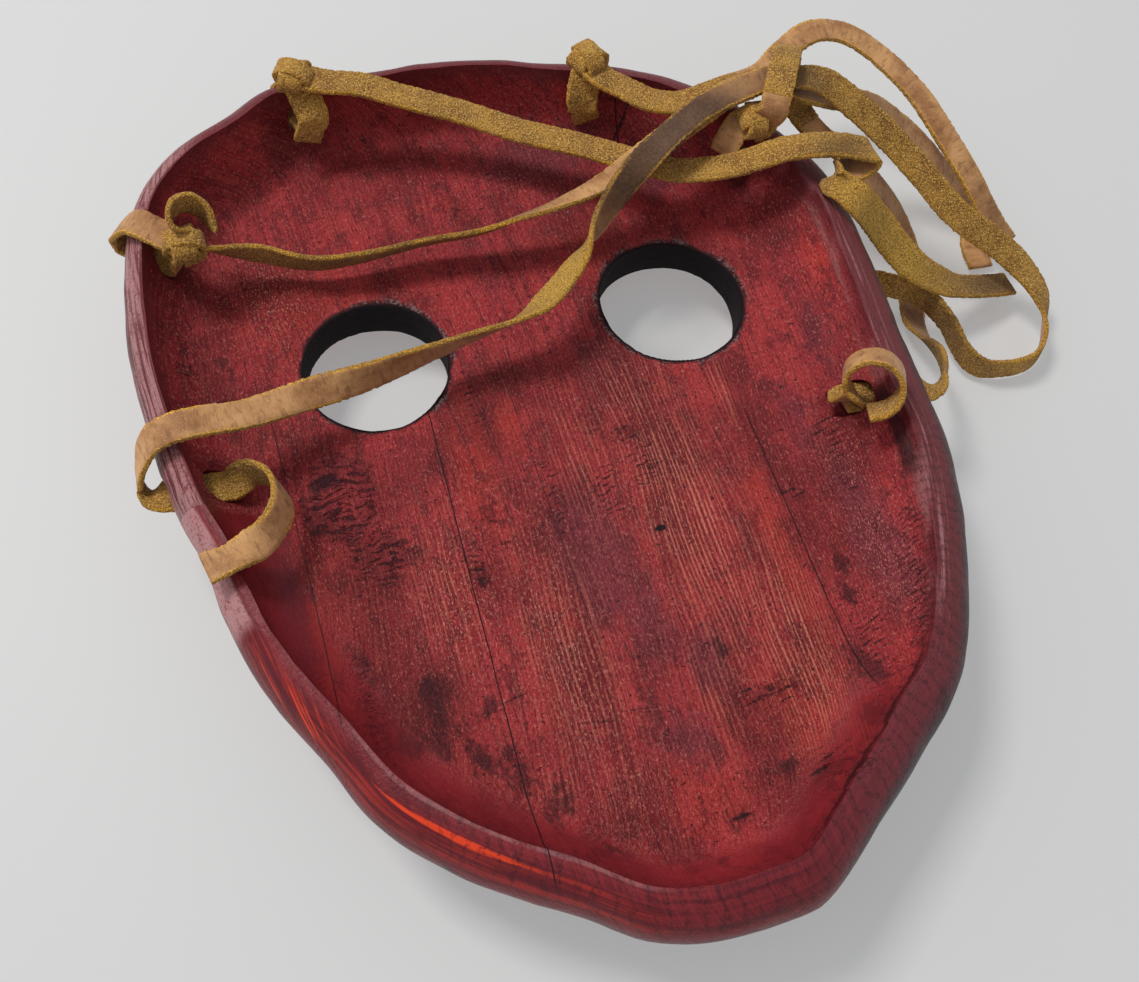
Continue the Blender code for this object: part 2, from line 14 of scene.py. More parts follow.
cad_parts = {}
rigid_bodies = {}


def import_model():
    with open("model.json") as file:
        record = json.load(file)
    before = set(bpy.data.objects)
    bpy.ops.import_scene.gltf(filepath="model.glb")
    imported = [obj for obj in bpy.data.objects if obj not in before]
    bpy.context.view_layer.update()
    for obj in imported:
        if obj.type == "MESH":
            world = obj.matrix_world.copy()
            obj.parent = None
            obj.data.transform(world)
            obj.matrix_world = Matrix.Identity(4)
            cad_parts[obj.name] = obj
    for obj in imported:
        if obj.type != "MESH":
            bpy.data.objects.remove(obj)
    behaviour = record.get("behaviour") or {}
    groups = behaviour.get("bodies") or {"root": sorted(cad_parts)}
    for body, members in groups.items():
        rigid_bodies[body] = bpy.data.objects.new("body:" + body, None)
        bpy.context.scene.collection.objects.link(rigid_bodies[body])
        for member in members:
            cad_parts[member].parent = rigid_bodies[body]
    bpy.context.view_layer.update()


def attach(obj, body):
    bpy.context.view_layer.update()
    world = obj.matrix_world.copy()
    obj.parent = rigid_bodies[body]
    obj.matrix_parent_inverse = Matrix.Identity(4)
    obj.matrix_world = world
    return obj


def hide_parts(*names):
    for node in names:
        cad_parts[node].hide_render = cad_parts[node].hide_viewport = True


MM = 0.001
SHIFT = (-1.9, -0.35)

# Mask outline and sections, as in the solid
CENTRE = (0.0, 5.0)
STEP_DEG = 15.0
RADII = (123, 129, 141, 145, 145, 142, 147, 153, 159, 154, 138, 124,
         116, 114, 118, 123, 134, 143, 156, 154, 145, 140, 130, 127)
LUMPS = ((81, 4, 1.2), (98, 6, -1.6), (112, 4, 2.6), (118, 5, -1.5), (131, 6, 2.0), (187, 6, -1.2),
         (230, 7, 2.6), (262, 5, 1.8), (280, 4, 2.2), (290, 5, -1.6), (308, 6, 2.0), (331, 9, 2.0),
         (350, 6, -1.5))
RIM_STEP_DEG = 30.0
CREST_Z = (52, 53, 54, 53, 54, 53, 52, 51, 51, 52, 51, 51)
RIM_WIDTH = (15, 14, 9, 7, 8, 9, 9, 11, 13, 14, 15, 15)
SLOPE_WIDTH = (34, 30, 16, 9, 15, 24, 27, 27, 22, 16, 20, 32)
ROLL_DROP = 12.0
SLOPE_POWER = 1.7
FLOOR_Z = 27.0
FLOOR_DISH = 2.5
WALL_TUCK = 22.0
FACE_MID_Z = 8.0
FACE_EDGE_Z = 19.0
FACE_X = 4.5
FOREHEAD_Y, FOREHEAD_HALF, FOREHEAD_TALL, FOREHEAD_OUT = 112.0, 70.0, 24.0, 3.0
BROW_Y, BROW_HALF, BROW_OUT, BROW_TALL = 86.0, 50.0, 9.0, 9.0
EYE_HALF_GAP, EYE_Y = 52.0, 49.0
SOCKET_RADIUS, SOCKET_DEPTH = 36.0, 5.0
LID_RADIUS, LID_OUT = 29.0, 3.0
NOSE_TOP_Y, NOSE_TIP_Y, NOSE_END_Y = 74.0, -24.0, -36.0
NOSE_OUT, NOSE_HALF = 12.0, 17.0
WING_OFFSET, WING_OUT = 17.0, 4.5
CHEEK_OFFSET, CHEEK_Y, CHEEK_OUT, CHEEK_HALF, CHEEK_TALL = 64.0, -12.0, 4.0, 30.0, 34.0
MOUTH_Y, MOUTH_HALF, LIP_OUT, LIP_TALL, LIP_RISE = -70.0, 38.0, 6.0, 6.0, 3.0
CHIN_Y, CHIN_OUT, CHIN_HALF, CHIN_TALL = -112.0, 12.0, 32.0, 17.0
EYES = ((-47.0, 49.5, 24.0, 23.2, 20.0), (57.5, 48.0, 25.0, 23.0, -35.0))
THONG_WIDTH = 10.0
THONG_THICK = 1.8
FIT_GAP = 0.35
HOLE_GAP = 0.7
HOLE_DROP = 13.0
HOLE_LEFT_UPPER, HOLE_LEFT_LOWER = 138.0, 174.5
HOLE_TOP_LEFT, HOLE_TOP_RIGHT = 109.0, 68.0
HOLE_RIGHT_UPPER, HOLE_RIGHT_LOWER = 41.0, 352.0
HOLES = (HOLE_LEFT_UPPER, HOLE_LEFT_LOWER, HOLE_TOP_LEFT, HOLE_TOP_RIGHT, HOLE_RIGHT_UPPER, HOLE_RIGHT_LOWER)

# How fine the net of points is: round the outline, and across each region from the middle outward
TURNS = 400
TURN_EVENING = 0.15
FLOOR_RINGS = tuple((step + 1) / 46 for step in range(46))
SLOPE_RINGS = tuple(math.sin(math.pi / 2 * (step + 1) / 26) for step in range(26))
ROLL_RINGS = tuple(90 * (step + 1) / 14 for step in range(14))
WALL_RINGS = tuple(90 * (step + 1) / 16 for step in range(16))
FACE_RINGS = tuple(1 - (step + 1) / 60 for step in range(60))
FACE_LINE_SHARE = 0.72
FACE_NEAR = ((-3, 0), (3, 0), (0, -3), (0, 3))
# Height that parts the hollow from the face
UNDER_Z = 22.0
# Carving waves: the size and seed of each, and how far they push each region of the surface
WAVES = ((34, 1.3), (13, 4.1), (5, 7.7))
FLOOR_LIFT, RIM_LIFT, RIM_OUT = (0.55, 0.3, 0.12), (0.35, 0.2, 0.08), (0.5, 0.35, 0.12)
FACE_LIFT = (0.35, 0.22, 0.0)
# Mean eye radius, softened width of its edges, share of that on the face, and reach of a strap hole's cutter
EYE_MEAN, EYE_SOFT, EYE_SOFT_UNDER = 24.0, 1.3, 0.8
HOLE_INSIDE, HOLE_OUTSIDE = 14.0, 12.0


def curve(before, here, after, later, part):
    """Point of a smooth curve, at this part of the way from here to after."""
    return here + 0.5 * part * (
        after - before
        + part * (2 * before - 5 * here + 4 * after - later + part * (3 * (here - after) + later - before))
    )


def around(values, step, degrees):
    """Smooth closed curve through the values, read at the given directions."""
    values = np.asarray(values, float)
    place_on = np.asarray(degrees, float) / step
    low = np.floor(place_on).astype(int)
    part = place_on - low
    count = len(values)
    near = [values[(low + beside) % count] for beside in (-1, 0, 1, 2)]
    return curve(*near, part)


def bell(distance, width):
    return np.exp(-(distance / width) ** 2)


def rim_radius(degrees):
    radius = around(RADII, STEP_DEG, degrees)
    for middle, half, out in LUMPS:
        away = (np.asarray(degrees, float) - middle + 180) % 360 - 180
        radius = radius + out * bell(away, half)
    return radius


def section(degrees):
    """Widest radius, crest radius, crest height and floor radius in the given directions."""
    wide = rim_radius(degrees)
    crest = wide - around(RIM_WIDTH, RIM_STEP_DEG, degrees)
    floor = crest - around(SLOPE_WIDTH, RIM_STEP_DEG, degrees)
    return wide, crest, around(CREST_Z, RIM_STEP_DEG, degrees), floor


def section_at(direction):
    """The same four measures in one direction, as plain numbers."""
    return tuple(float(value) for value in section(direction))


def place(degrees, radius):
    turn = np.radians(degrees)
    return CENTRE[0] + radius * np.cos(turn), CENTRE[1] + radius * np.sin(turn)


def floor_height(share):
    return FLOOR_Z + FLOOR_DISH * share ** 2


def slope_off(distance, soft):
    """One below zero and nothing above it, with a soft step between."""
    return 1 / (1 + np.exp(np.clip(distance / soft, -40, 40)))


def face_height(x, y, share):
    """Height of the carved face over the table."""
    side = np.abs(x - FACE_X)
    height = FACE_MID_Z + (FACE_EDGE_Z - FACE_MID_Z) * share ** 4
    height = height - FOREHEAD_OUT * bell(side, FOREHEAD_HALF) * bell(y - FOREHEAD_Y, FOREHEAD_TALL)
    eye = np.hypot(side - EYE_HALF_GAP, y - EYE_Y)
    height = height + SOCKET_DEPTH * bell(eye, SOCKET_RADIUS)
    arch = BROW_Y - 0.005 * (side - BROW_HALF) ** 2
    brow = bell(y - arch, BROW_TALL) * slope_off(side - 1.6 * BROW_HALF, 5) * (1 - 0.3 * bell(side, 14))
    height = height - BROW_OUT * brow
    height = height - LID_OUT * bell(eye - LID_RADIUS, 4)
    along = np.clip((NOSE_TOP_Y - y) / (NOSE_TOP_Y - NOSE_TIP_Y), 0, 1)
    rise = NOSE_OUT * (0.4 + 0.6 * along ** 1.2)
    ends = slope_off(NOSE_END_Y - y, 1.5) * slope_off(y - NOSE_TOP_Y, 4)
    across = np.clip(1 - side / (NOSE_HALF * (0.7 + 0.5 * along)), 0, 1)
    height = height - rise * ends * across ** 0.8
    wing = np.hypot(side - WING_OFFSET, (y - NOSE_TIP_Y + 2) * 0.9)
    height = height - WING_OUT * bell(wing, 8)
    cheek = np.hypot((side - CHEEK_OFFSET) / CHEEK_HALF, (y - CHEEK_Y) / CHEEK_TALL)
    height = height - CHEEK_OUT * bell(cheek, 1)
    bow = y - MOUTH_Y - 0.0022 * side ** 2
    lips = bell(bow - 1.2 * LIP_TALL, LIP_TALL) + bell(bow + 1.3 * LIP_TALL, 1.15 * LIP_TALL)
    height = height - LIP_RISE * bell(side, 46) * bell(y - MOUTH_Y, 22)
    height = height - LIP_OUT * lips * slope_off(side - MOUTH_HALF, 3)
    chin = np.hypot((x - FACE_X) / CHIN_HALF, (y - CHIN_Y) / CHIN_TALL)
    height = height - CHIN_OUT * bell(chin, 1)
    return np.maximum(height, 0.0)


def turn_degrees():
    even = np.arange(TURNS) * 360.0 / TURNS
    return even - np.degrees(TURN_EVENING) * np.sin(2 * np.radians(even))


def mask_rings():
    """Rings of points from the middle of the hollow, over the rim and in to the middle line of the face."""
    degrees = turn_degrees()
    wide, crest, crest_z, floor = section(degrees)
    rings = []
    for share in FLOOR_RINGS:
        rings.append((*place(degrees, floor * share), floor_height(share) + 0 * degrees))
    for share in SLOPE_RINGS:
        climb = 1 - (1 - share ** SLOPE_POWER) ** (1 / SLOPE_POWER)
        height = floor_height(1.0) + (crest_z - floor_height(1.0)) * climb
        rings.append((*place(degrees, floor + (crest - floor) * share), height))
    for turn in ROLL_RINGS:
        sine, cosine = math.sin(math.radians(turn)), math.cos(math.radians(turn))
        rings.append((*place(degrees, crest + (wide - crest) * sine), crest_z - ROLL_DROP * (1 - cosine)))
    edge_x, edge_y = place(degrees, wide - WALL_TUCK)
    edge_z = face_height(edge_x, edge_y, 1.0)
    wide_z = crest_z - ROLL_DROP
    for turn in WALL_RINGS:
        sine, cosine = math.sin(math.radians(turn)), math.cos(math.radians(turn))
        rings.append((*place(degrees, wide - WALL_TUCK * (1 - cosine)), wide_z - (wide_z - edge_z) * sine))
    opposite = (TURNS // 2 - np.arange(TURNS)) % TURNS
    line_y = FACE_LINE_SHARE * (edge_y + edge_y[opposite]) / 2
    for share in FACE_RINGS:
        x = FACE_X + (edge_x - FACE_X) * share
        y = line_y + (edge_y - line_y) * share
        rings.append((x, y, face_height(x, y, share)))
    return rings


def new_object(name, points, faces, material):
    mesh = bpy.data.meshes.new(name)
    rows = np.asarray(points, float) + (SHIFT[0], SHIFT[1], 0)
    mesh.from_pydata((rows * MM).tolist(), [], faces)
    mesh.update()
    made = bpy.data.objects.new(name, mesh)
    bpy.context.scene.collection.objects.link(made)
    mesh.materials.append(material)
    return made


def tube_faces(rings, sides):
    """Faces between the rings of points of a tube."""
    faces = []
    for ring in range(rings - 1):
        near, far = ring * sides, (ring + 1) * sides
        for side in range(sides):
            beside = (side + 1) % sides
            faces.append((near + side, far + side, far + beside, near + beside))
    return faces


def own_points(mesh):
    """A mesh's points in the mask's own frame, in millimetres."""
    rows = np.zeros(len(mesh.vertices) * 3)
    mesh.vertices.foreach_get("co", rows)
    return rows.reshape(-1, 3) / MM - (SHIFT[0], SHIFT[1], 0)


def set_value(mesh, name, values):
    layer = mesh.attributes.new(name, "FLOAT", "POINT")
    layer.data.foreach_set("value", np.asarray(values, np.float32))


def waves(points, size, seed):
    """Smooth noise from -1 to 1 at each point, with bumps about as large as size."""
    return np.array([noise.noise(Vector((x / size + seed, y / size - seed, z / size + 2 * seed)))
                     for x, y, z in points])


def prism(name, start, end, half_wide, half_tall, sides, rough):
    """Rod with a slightly rough round section, used to cut a hole."""
    start, end = Vector(start), Vector(end)
    along = (end - start).normalized()
    across = Vector((0, 0, 1)).cross(along)
    across = across.normalized() if across.length > 0.01 else Vector((1, 0, 0))
    up = along.cross(across)
    points = []
    rows = 14
    for row in range(rows):
        middle = start.lerp(end, row / (rows - 1))
        for side in range(sides):
            turn = 2 * math.pi * side / sides
            swell = 1 + rough * noise.noise(Vector((3 * math.cos(turn), 3 * math.sin(turn), row * 0.7)))
            points.append(middle + across * half_wide * swell * math.cos(turn)
                          + up * half_tall * swell * math.sin(turn))
    faces = [tuple(reversed(range(sides))), tuple(range((rows - 1) * sides, rows * sides))]
    for row in range(rows - 1):
        for side in range(sides):
            beside = (side + 1) % sides
            near, far = row * sides, (row + 1) * sides
            faces.append((near + side, near + beside, far + beside, far + side))
    mesh = bpy.data.meshes.new(name)
    mesh.from_pydata([tuple(p * MM) for p in points], [], faces)
    made = bpy.data.objects.new(name, mesh)
    made.location = (SHIFT[0] * MM, SHIFT[1] * MM, 0)
    bpy.context.scene.collection.objects.link(made)
    return made


def cut(target, cutter):
    modifier = target.modifiers.new(cutter.name, "BOOLEAN")
    modifier.operation = "DIFFERENCE"
    modifier.solver = "MANIFOLD"
    modifier.object = cutter


def hole_facts(direction):
    """Inner mouth radius, outer radius and height of a strap hole."""
    wide, crest, crest_z, floor = section_at(direction)
    height = crest_z - HOLE_DROP
    climb = (height - floor_height(1.0)) / (crest_z - floor_height(1.0))
    share = (1 - (1 - climb) ** SLOPE_POWER) ** (1 / SLOPE_POWER)
    return floor + (crest - floor) * share, wide, height


def eye_reach(x, y, number):
    """Distance from an eye hole's centre as a share of its edge."""
    middle_x, middle_y, half_long, half_wide, turn = EYES[number]
    cosine, sine = math.cos(math.radians(turn)), math.sin(math.radians(turn))
    along = (x - middle_x) * cosine + (y - middle_y) * sine
    across = (y - middle_y) * cosine - (x - middle_x) * sine
    return np.hypot(along / half_long, across / half_wide)


def apply_modifiers(target, cutters):
    bpy.context.view_layer.update()
    graph = bpy.context.evaluated_depsgraph_get()
    mesh = bpy.data.meshes.new_from_object(target.evaluated_get(graph))
    target.modifiers.clear()
    target.data = mesh
    for cutter in cutters:
        bpy.data.objects.remove(cutter, do_unlink=True)


def mask_points(rings):
    """The mask's points, with gouge waves, flats along the rim and softened edges round the eye holes."""
    points = [(CENTRE[0], CENTRE[1], floor_height(0.0))]
    for x, y, height in rings:
        points.extend(zip(x, y, height))
    points = np.array(points, float)
    inner = len(FLOOR_RINGS) + len(SLOPE_RINGS)
    ring_of = np.concatenate([[0], np.repeat(np.arange(len(rings)), TURNS)])
    degrees = np.concatenate([[0], np.tile(turn_degrees(), len(rings))])
    out = np.stack([np.cos(np.radians(degrees)), np.sin(np.radians(degrees)), 0 * degrees], 1)
    heights = [waves(points, size, seed) for size, seed in WAVES]
    floor_lift, rim_lift, rim_out, face_lift = (
        sum(share * height for share, height in zip(shares, heights))
        for shares in (FLOOR_LIFT, RIM_LIFT, RIM_OUT, FACE_LIFT))
    upper = ring_of < inner
    face = ring_of >= inner + len(ROLL_RINGS) + len(WALL_RINGS)
    roll = (ring_of >= len(FLOOR_RINGS) + 12) & ~face
    lift = np.select([face, roll, upper], [face_lift, rim_lift, floor_lift], 0.0)
    points += out * np.where(roll, rim_out, 0.0)[:, None]
    for number in range(len(EYES)):
        away = (eye_reach(points[:, 0], points[:, 1], number) - 1) * EYE_MEAN
        soft = EYE_SOFT * np.exp(-np.clip(away, 0, None) / EYE_SOFT)
        lift = lift + np.where(upper, -soft, 0) + np.where(face, EYE_SOFT_UNDER * soft, 0)
    points[:, 2] = np.where(face, np.maximum(points[:, 2] + lift, 0), points[:, 2] + lift)
    return points


def mask_faces(rings):
    """Faces between the rings, from the middle point of the hollow to the middle line of the face."""
    faces = []
    last = 1 + (rings - 1) * TURNS
    for turn in range(TURNS):
        beside = (turn + 1) % TURNS
        faces.append((0, 1 + turn, 1 + beside))
        for ring in range(rings - 1):
            near, far = 1 + ring * TURNS, 1 + (ring + 1) * TURNS
            faces.append((near + turn, far + turn, far + beside, near + beside))
    quarter = TURNS // 4
    for step in range(-quarter, quarter):
        right, above = last + step % TURNS, last + (step + 1) % TURNS
        left, above_left = last + (TURNS // 2 - step) % TURNS, last + (TURNS // 2 - step - 1) % TURNS
        faces.append(tuple(dict.fromkeys([right, left, above_left, above])))
    return faces


def mask_cutters():
    """Rods that cut the eye holes and the strap holes."""
    cutters = []
    for number, (x, y, half_long, half_wide, turn) in enumerate(EYES):
        cutter = prism(f"eye_cutter_{number}", (0, 0, -5), (0, 0, 70), half_long, half_wide, 96, 0.02)
        cutter.location = ((x + SHIFT[0]) * MM, (y + SHIFT[1]) * MM, 0)
        cutter.rotation_euler = (0, 0, math.radians(turn))
        cutters.append(cutter)
    radius = math.hypot(THONG_WIDTH, THONG_THICK) / 2 + HOLE_GAP
    for number, direction in enumerate(HOLES):
        inside, outside, height = hole_facts(direction)
        start = (*place(direction, inside - HOLE_INSIDE), height)
        end = (*place(direction, outside + HOLE_OUTSIDE), height)
        cutters.append(prism(f"hole_cutter_{number}", start, end, radius, radius, 32, 0.04))
    return cutters


def make_mask(material):
    rings = mask_rings()
    mask = new_object("mask", mask_points(rings), mask_faces(len(rings)), material)
    cutters = mask_cutters()
    for cutter in cutters:
        cut(mask, cutter)
    apply_modifiers(mask, cutters)
    mask.data.shade_smooth()
    mask.data.set_sharp_from_angle(angle=math.radians(48))
    paint_mask(mask.data)
    return mask


# Painted zones of the hollow: x, y, half width across, half length along the grain, strength
SCORCHES = ((-74, 12, 8, 4, 0.8), (-64, 2, 12, 12, 0.3), (-57, -62, 7, 5, 1.0), (-62, -74, 12, 14, 0.8),
            (-50, -84, 12, 9, 0.6), (-43, -70, 4, 5, 0.9), (-47, -73, 3, 3, 0.7), (-40, -92, 5, 9, 0.8),
            (-34, -104, 8, 8, 0.7), (-25, -120, 16, 5, 0.6), (-84, -52, 4, 10, 0.5), (9, -12, 6, 4, 0.5),
            (30, -54, 3, 8, 0.7), (29, -74, 3, 6, 0.6), (1, -78, 3, 6, 0.5), (76, -59, 3, 7, 0.9),
            (74, -70, 3, 6, 0.7), (69, -91, 5, 12, 1.0), (62, -108, 6, 5, 0.9), (46, -120, 9, 5, 0.7),
            (36, -112, 6, 3, 0.6), (16, -122, 6, 3, 0.5), (4, -113, 5, 3, 0.4), (7, -131, 8, 3, 0.6),
            (92, -14, 4, 3, 0.7), (60, 122, 6, 6, 0.6), (45, 30, 2.5, 2.5, 1.0), (-95, 40, 5, 40, 0.7))
CHATTERS = ((-70, 4, 12, 14, 1.4), (-62, -16, 10, 10, 1.1), (-34, -30, 5, 8, 0.6), (-27, -14, 4, 8, 0.6),
            (-19, 25, 4, 10, 0.4), (-3, 103, 5, 6, 0.5), (-10, 54, 4, 8, 0.4), (10, 28, 4, 10, 0.4),
            (40, -90, 9, 3, 0.8), (50, -119, 8, 4, 0.8), (26, 5, 5, 4, 0.7), (-76, -60, 4, 20, 0.7))
PALES = ((36, -30, 14, 45, 1.0), (52, -78, 11, 34, 1.0), (30, 12, 10, 18, 0.6), (58, -112, 8, 12, 0.7),
         (-16, -66, 12, 34, 0.6), (-45, -32, 10, 22, 0.5), (8, 0, 8, 22, 0.5), (-30, -100, 8, 10, 0.35),
         (62, 14, 3, 14, 0.6), (22, -86, 5, 16, 0.5))
FLECKS = ((-44, -34, 12, 24, 1.0), (-18, -60, 12, 40, 1.0), (88, -62, 7, 24, 1.0), (30, -20, 18, 40, 0.6),
          (90, -28, 5, 14, 0.8), (52, -85, 12, 30, 0.6), (-76, 84, 14, 16, 1.0), (-66, 50, 12, 12, 0.6),
          (20, 112, 22, 12, 0.3), (-10, -105, 14, 14, 0.6))
PURPLES = ((2, -36, 13, 24, 1.0), (12, -58, 9, 18, 0.8), (24, -74, 8, 16, 0.7), (10, -96, 12, 12, 0.7),
           (88, -56, 8, 34, 0.9), (82, -10, 8, 20, 0.6), (32, 118, 30, 14, 0.8), (-2, 70, 6, 24, 0.4),
           (70, 100, 14, 14, 0.7), (-91, -30, 4, 30, 0.9), (22, 40, 8, 16, 0.5), (98, 20, 6, 20, 0.6))
DEEPS = ((-68, -30, 14, 22, 1.0), (-62, -70, 14, 16, 0.9), (-48, -92, 16, 14, 0.6), (-78, -12, 10, 24, 0.5),
         (98, 0, 5, 30, 0.4))
REDS = ((-84, -42, 3.5, 30, 1.0), (-26, 4, 6, 24, 0.7), (-11, 18, 4, 10, 0.8), (60, -46, 5, 30, 0.8),
        (48, -100, 12, 18, 0.6), (34, 72, 10, 10, 0.6), (10, -112, 12, 16, 0.5), (-72, -30, 6, 14, 0.5),
        (-52, -88, 10, 8, 0.4), (108, 42, 4, 12, 0.9), (-60, 76, 26, 18, 0.35), (-92, -12, 3, 12, 0.5))


def zone(points, spots):
    """Strength of the nearest soft spot at each point."""
    total = np.zeros(len(points))
    for x, y, half_x, half_y, strength in spots:
        away = ((points[:, 0] - x) / half_x) ** 2 + ((points[:, 1] - y) / half_y) ** 2
        total = np.maximum(total, strength * np.exp(-away))
    return total


def paint_mask(mesh):
    """Writes what the wood material needs to know about each place."""
    points = own_points(mesh)
    x, y = points[:, 0] - CENTRE[0], points[:, 1] - CENTRE[1]
    degrees = np.degrees(np.arctan2(y, x)) % 360
    radius = np.hypot(x, y)
    wide, crest, crest_z, floor = section(degrees)
    height = points[:, 2]
    inside = -np.clip((crest - radius) / np.maximum(crest - floor, 1), 0, 1)
    below = np.clip((crest_z - ROLL_DROP - height) / 20, 0, 1)
    over = np.where(radius < crest, inside, np.clip((radius - crest) / (wide - crest), 0, 1) + below)
    set_value(mesh, "over", over)
    for name, spots in (("scorch", SCORCHES), ("chatter", CHATTERS), ("pale", PALES), ("flecks", FLECKS),
                        ("purple", PURPLES), ("red", REDS), ("deep", DEEPS)):
        set_value(mesh, name, zone(points, spots) * (height > UNDER_Z))
    under = np.clip((UNDER_Z - height) / 6, 0, 1) * (radius < wide - 1)
    around_it = [face_height(points[:, 0] + dx, points[:, 1] + dy, 0.0) for dx, dy in FACE_NEAR]
    hollow = face_height(points[:, 0], points[:, 1], 0.0) - np.mean(around_it, axis=0)
    # Hollows and ridges of the face: pooled stain and wear, and also painted shade and highlight
    set_value(mesh, "face_stain_and_shade", under * np.clip(hollow / 0.35, 0, 1))
    set_value(mesh, "face_wear_and_highlight", under * np.clip(-hollow / 0.35, 0, 1))
    reach = np.min([eye_reach(points[:, 0], points[:, 1], number) for number in range(len(EYES))], axis=0)
    set_value(mesh, "eye_edge", np.exp(-np.clip((reach - 1) * EYE_MEAN, 0, None) / 2.2))


class Wire:
    """A value inside a material, so that its sums are written as sums."""

    def __init__(self, graph, socket):
        self.graph, self.socket = graph, socket

    def __add__(self, other):
        return self.graph.sum("ADD", self, other)

    def __radd__(self, other):
        return self.graph.sum("ADD", other, self)

    def __sub__(self, other):
        if isinstance(other, Wire):
            return self.graph.sum("SUBTRACT", self, other)
        return self.graph.sum("ADD", self, -other)

    def __rsub__(self, other):
        return self.graph.sum("SUBTRACT", other, self)

    def __mul__(self, other):
        return self.graph.sum("MULTIPLY", self, other)

    def __pow__(self, other):
        return self.graph.sum("POWER", self, other)

    def __gt__(self, other):
        return self.graph.sum("GREATER_THAN", self, other)

    def __abs__(self):
        return self.graph.sum("ABSOLUTE", self)


class Graph:
    """A material with short names for its nodes. Its colour is laid on coat by coat."""

    def __init__(self, name):
        self.material = bpy.data.materials.new(name)
        self.material.use_nodes = True
        self.tree = self.material.node_tree
        self.shader = self.tree.nodes["Principled BSDF"]
        self.place = self.wire("ShaderNodeTexCoord", output="Object")
        self.colour = None

    def wire(self, kind, inputs=(), output=0, **settings):
        """Makes a node and gives one of its outputs."""
        made = self.tree.nodes.new(kind)
        for key, value in settings.items():
            setattr(made, key, value)
        for key, value in dict(inputs).items():
            self.feed(made.inputs[key], value)
        return Wire(self, made.outputs[output])

    def feed(self, socket, value):
        if isinstance(value, Wire):
            self.tree.links.new(value.socket, socket)
        else:
            socket.default_value = value

    def sum(self, operation, *values):
        return self.wire("ShaderNodeMath", dict(enumerate(values)), operation=operation)

    def most(self, first, second):
        return self.sum("MAXIMUM", first, second)

    def least(self, first, second):
        return self.sum("MINIMUM", first, second)

    def sine(self, value):
        return self.sum("SINE", value)

    def line(self, value, slope, start):
        return self.sum("MULTIPLY_ADD", value, slope, start)

    def value(self, name):
        return self.wire("ShaderNodeAttribute", output="Fac", attribute_name=name)

    def stretch(self, vector, scale, offset=(0, 0, 0)):
        return self.wire("ShaderNodeVectorMath", {0: vector, 1: scale, 2: offset}, operation="MULTIPLY_ADD")

    def noise(self, vector, scale=1.0, detail=3.0, rough=0.55):
        inputs = {"Vector": vector, "Scale": scale, "Detail": detail, "Roughness": rough}
        return self.wire("ShaderNodeTexNoise", inputs)

    def step(self, value, low, high):
        """Soft step from 0 at low to 1 at high; falls where low is above high."""
        inputs = {"Value": value, "From Min": low, "From Max": high}
        return self.wire("ShaderNodeMapRange", inputs, interpolation_type="SMOOTHSTEP")

    def window(self, value, low, high, soft):
        """One between low and high and nothing past a soft edge on each side."""
        half = (high - low) / 2
        return self.step(abs(value - (low + high) / 2), half + soft, half)

    def oval(self, flat, at_x, at_y, half_long, half_wide, lean):
        """Square of the distance from the middle of a leaning oval, as a share of its edge."""
        cosine, sine = math.cos(math.radians(lean)), math.sin(math.radians(lean))
        shares = []
        for side_x, side_y, half in ((cosine, sine, half_long), (-sine, cosine, half_wide)):
            line = (side_x / half, side_y / half, 0.0)
            along = self.wire("ShaderNodeVectorMath", {0: flat, 1: line}, "Value", operation="DOT_PRODUCT")
            shares.append(along - (line[0] * at_x + line[1] * at_y))
        return self.line(shares[0], shares[0], shares[1] * shares[1])

    def mix(self, share, first, second):
        """Colour between two others, each a wire or plain red, green and blue."""
        pair = [(*value, 1.0) if isinstance(value, tuple) else value for value in (first, second)]
        return self.wire("ShaderNodeMix", {"Factor": share, 6: pair[0], 7: pair[1]}, 2, data_type="RGBA")

    def coat(self, share, colour):
        """Lays a colour over what is there."""
        self.colour = self.mix(share, self.colour, colour)

    def split(self, vector):
        first = self.wire("ShaderNodeSeparateXYZ", {0: vector})
        return [Wire(self, output) for output in first.socket.node.outputs]

    def join(self, x, y, z):
        return self.wire("ShaderNodeCombineXYZ", {0: x, 1: y, 2: z})

    def bump(self, height, distance, strength):
        return self.wire("ShaderNodeBump", {"Height": height, "Distance": distance, "Strength": strength})


# Main colours
STAIN_DARK, STAIN_BRIGHT = (0.215, 0.012, 0.018), (0.48, 0.036, 0.044)
STAIN_RED, STAIN_DEEP, STAIN_PURPLE = (0.6, 0.042, 0.027), (0.175, 0.009, 0.012), (0.215, 0.028, 0.046)
WINE, ORANGE = (0.185, 0.015, 0.021), (0.88, 0.062, 0.015)
SOOT, CHAR = (0.036, 0.006, 0.01), (0.009, 0.004, 0.006)
SUEDE_DARK, SUEDE_LIGHT, SUEDE_GOLD = (0.36, 0.15, 0.024), (0.7, 0.35, 0.055), (0.78, 0.43, 0.045)
SMOOTH_DARK, SMOOTH_LIGHT = (0.36, 0.155, 0.054), (0.7, 0.37, 0.15)
TABLE_WHITE = (0.46, 0.46, 0.457)
# Where the glued boards meet, and the seams that show in the floor: x at y = 0, lean per millimetre along y,
# lowest y, highest y, half width, darkness
BOARD_EDGES = (-84.3, -36.2, -7.2, 66.3)
SEAMS = ((-84.3, 0.004, -66, 40, 0.16, 0.75), (-36.2, 0.045, -122, 32, 0.17, 1.0),
         (-7.0, -0.01, -55, 40, 0.14, 0.6), (-7.4, 0.012, -128, -55, 0.14, 0.5),
         (66.5, -0.012, -96, -2, 0.2, 0.9), (55.8, 0.04, 100, 128, 0.25, 0.9))
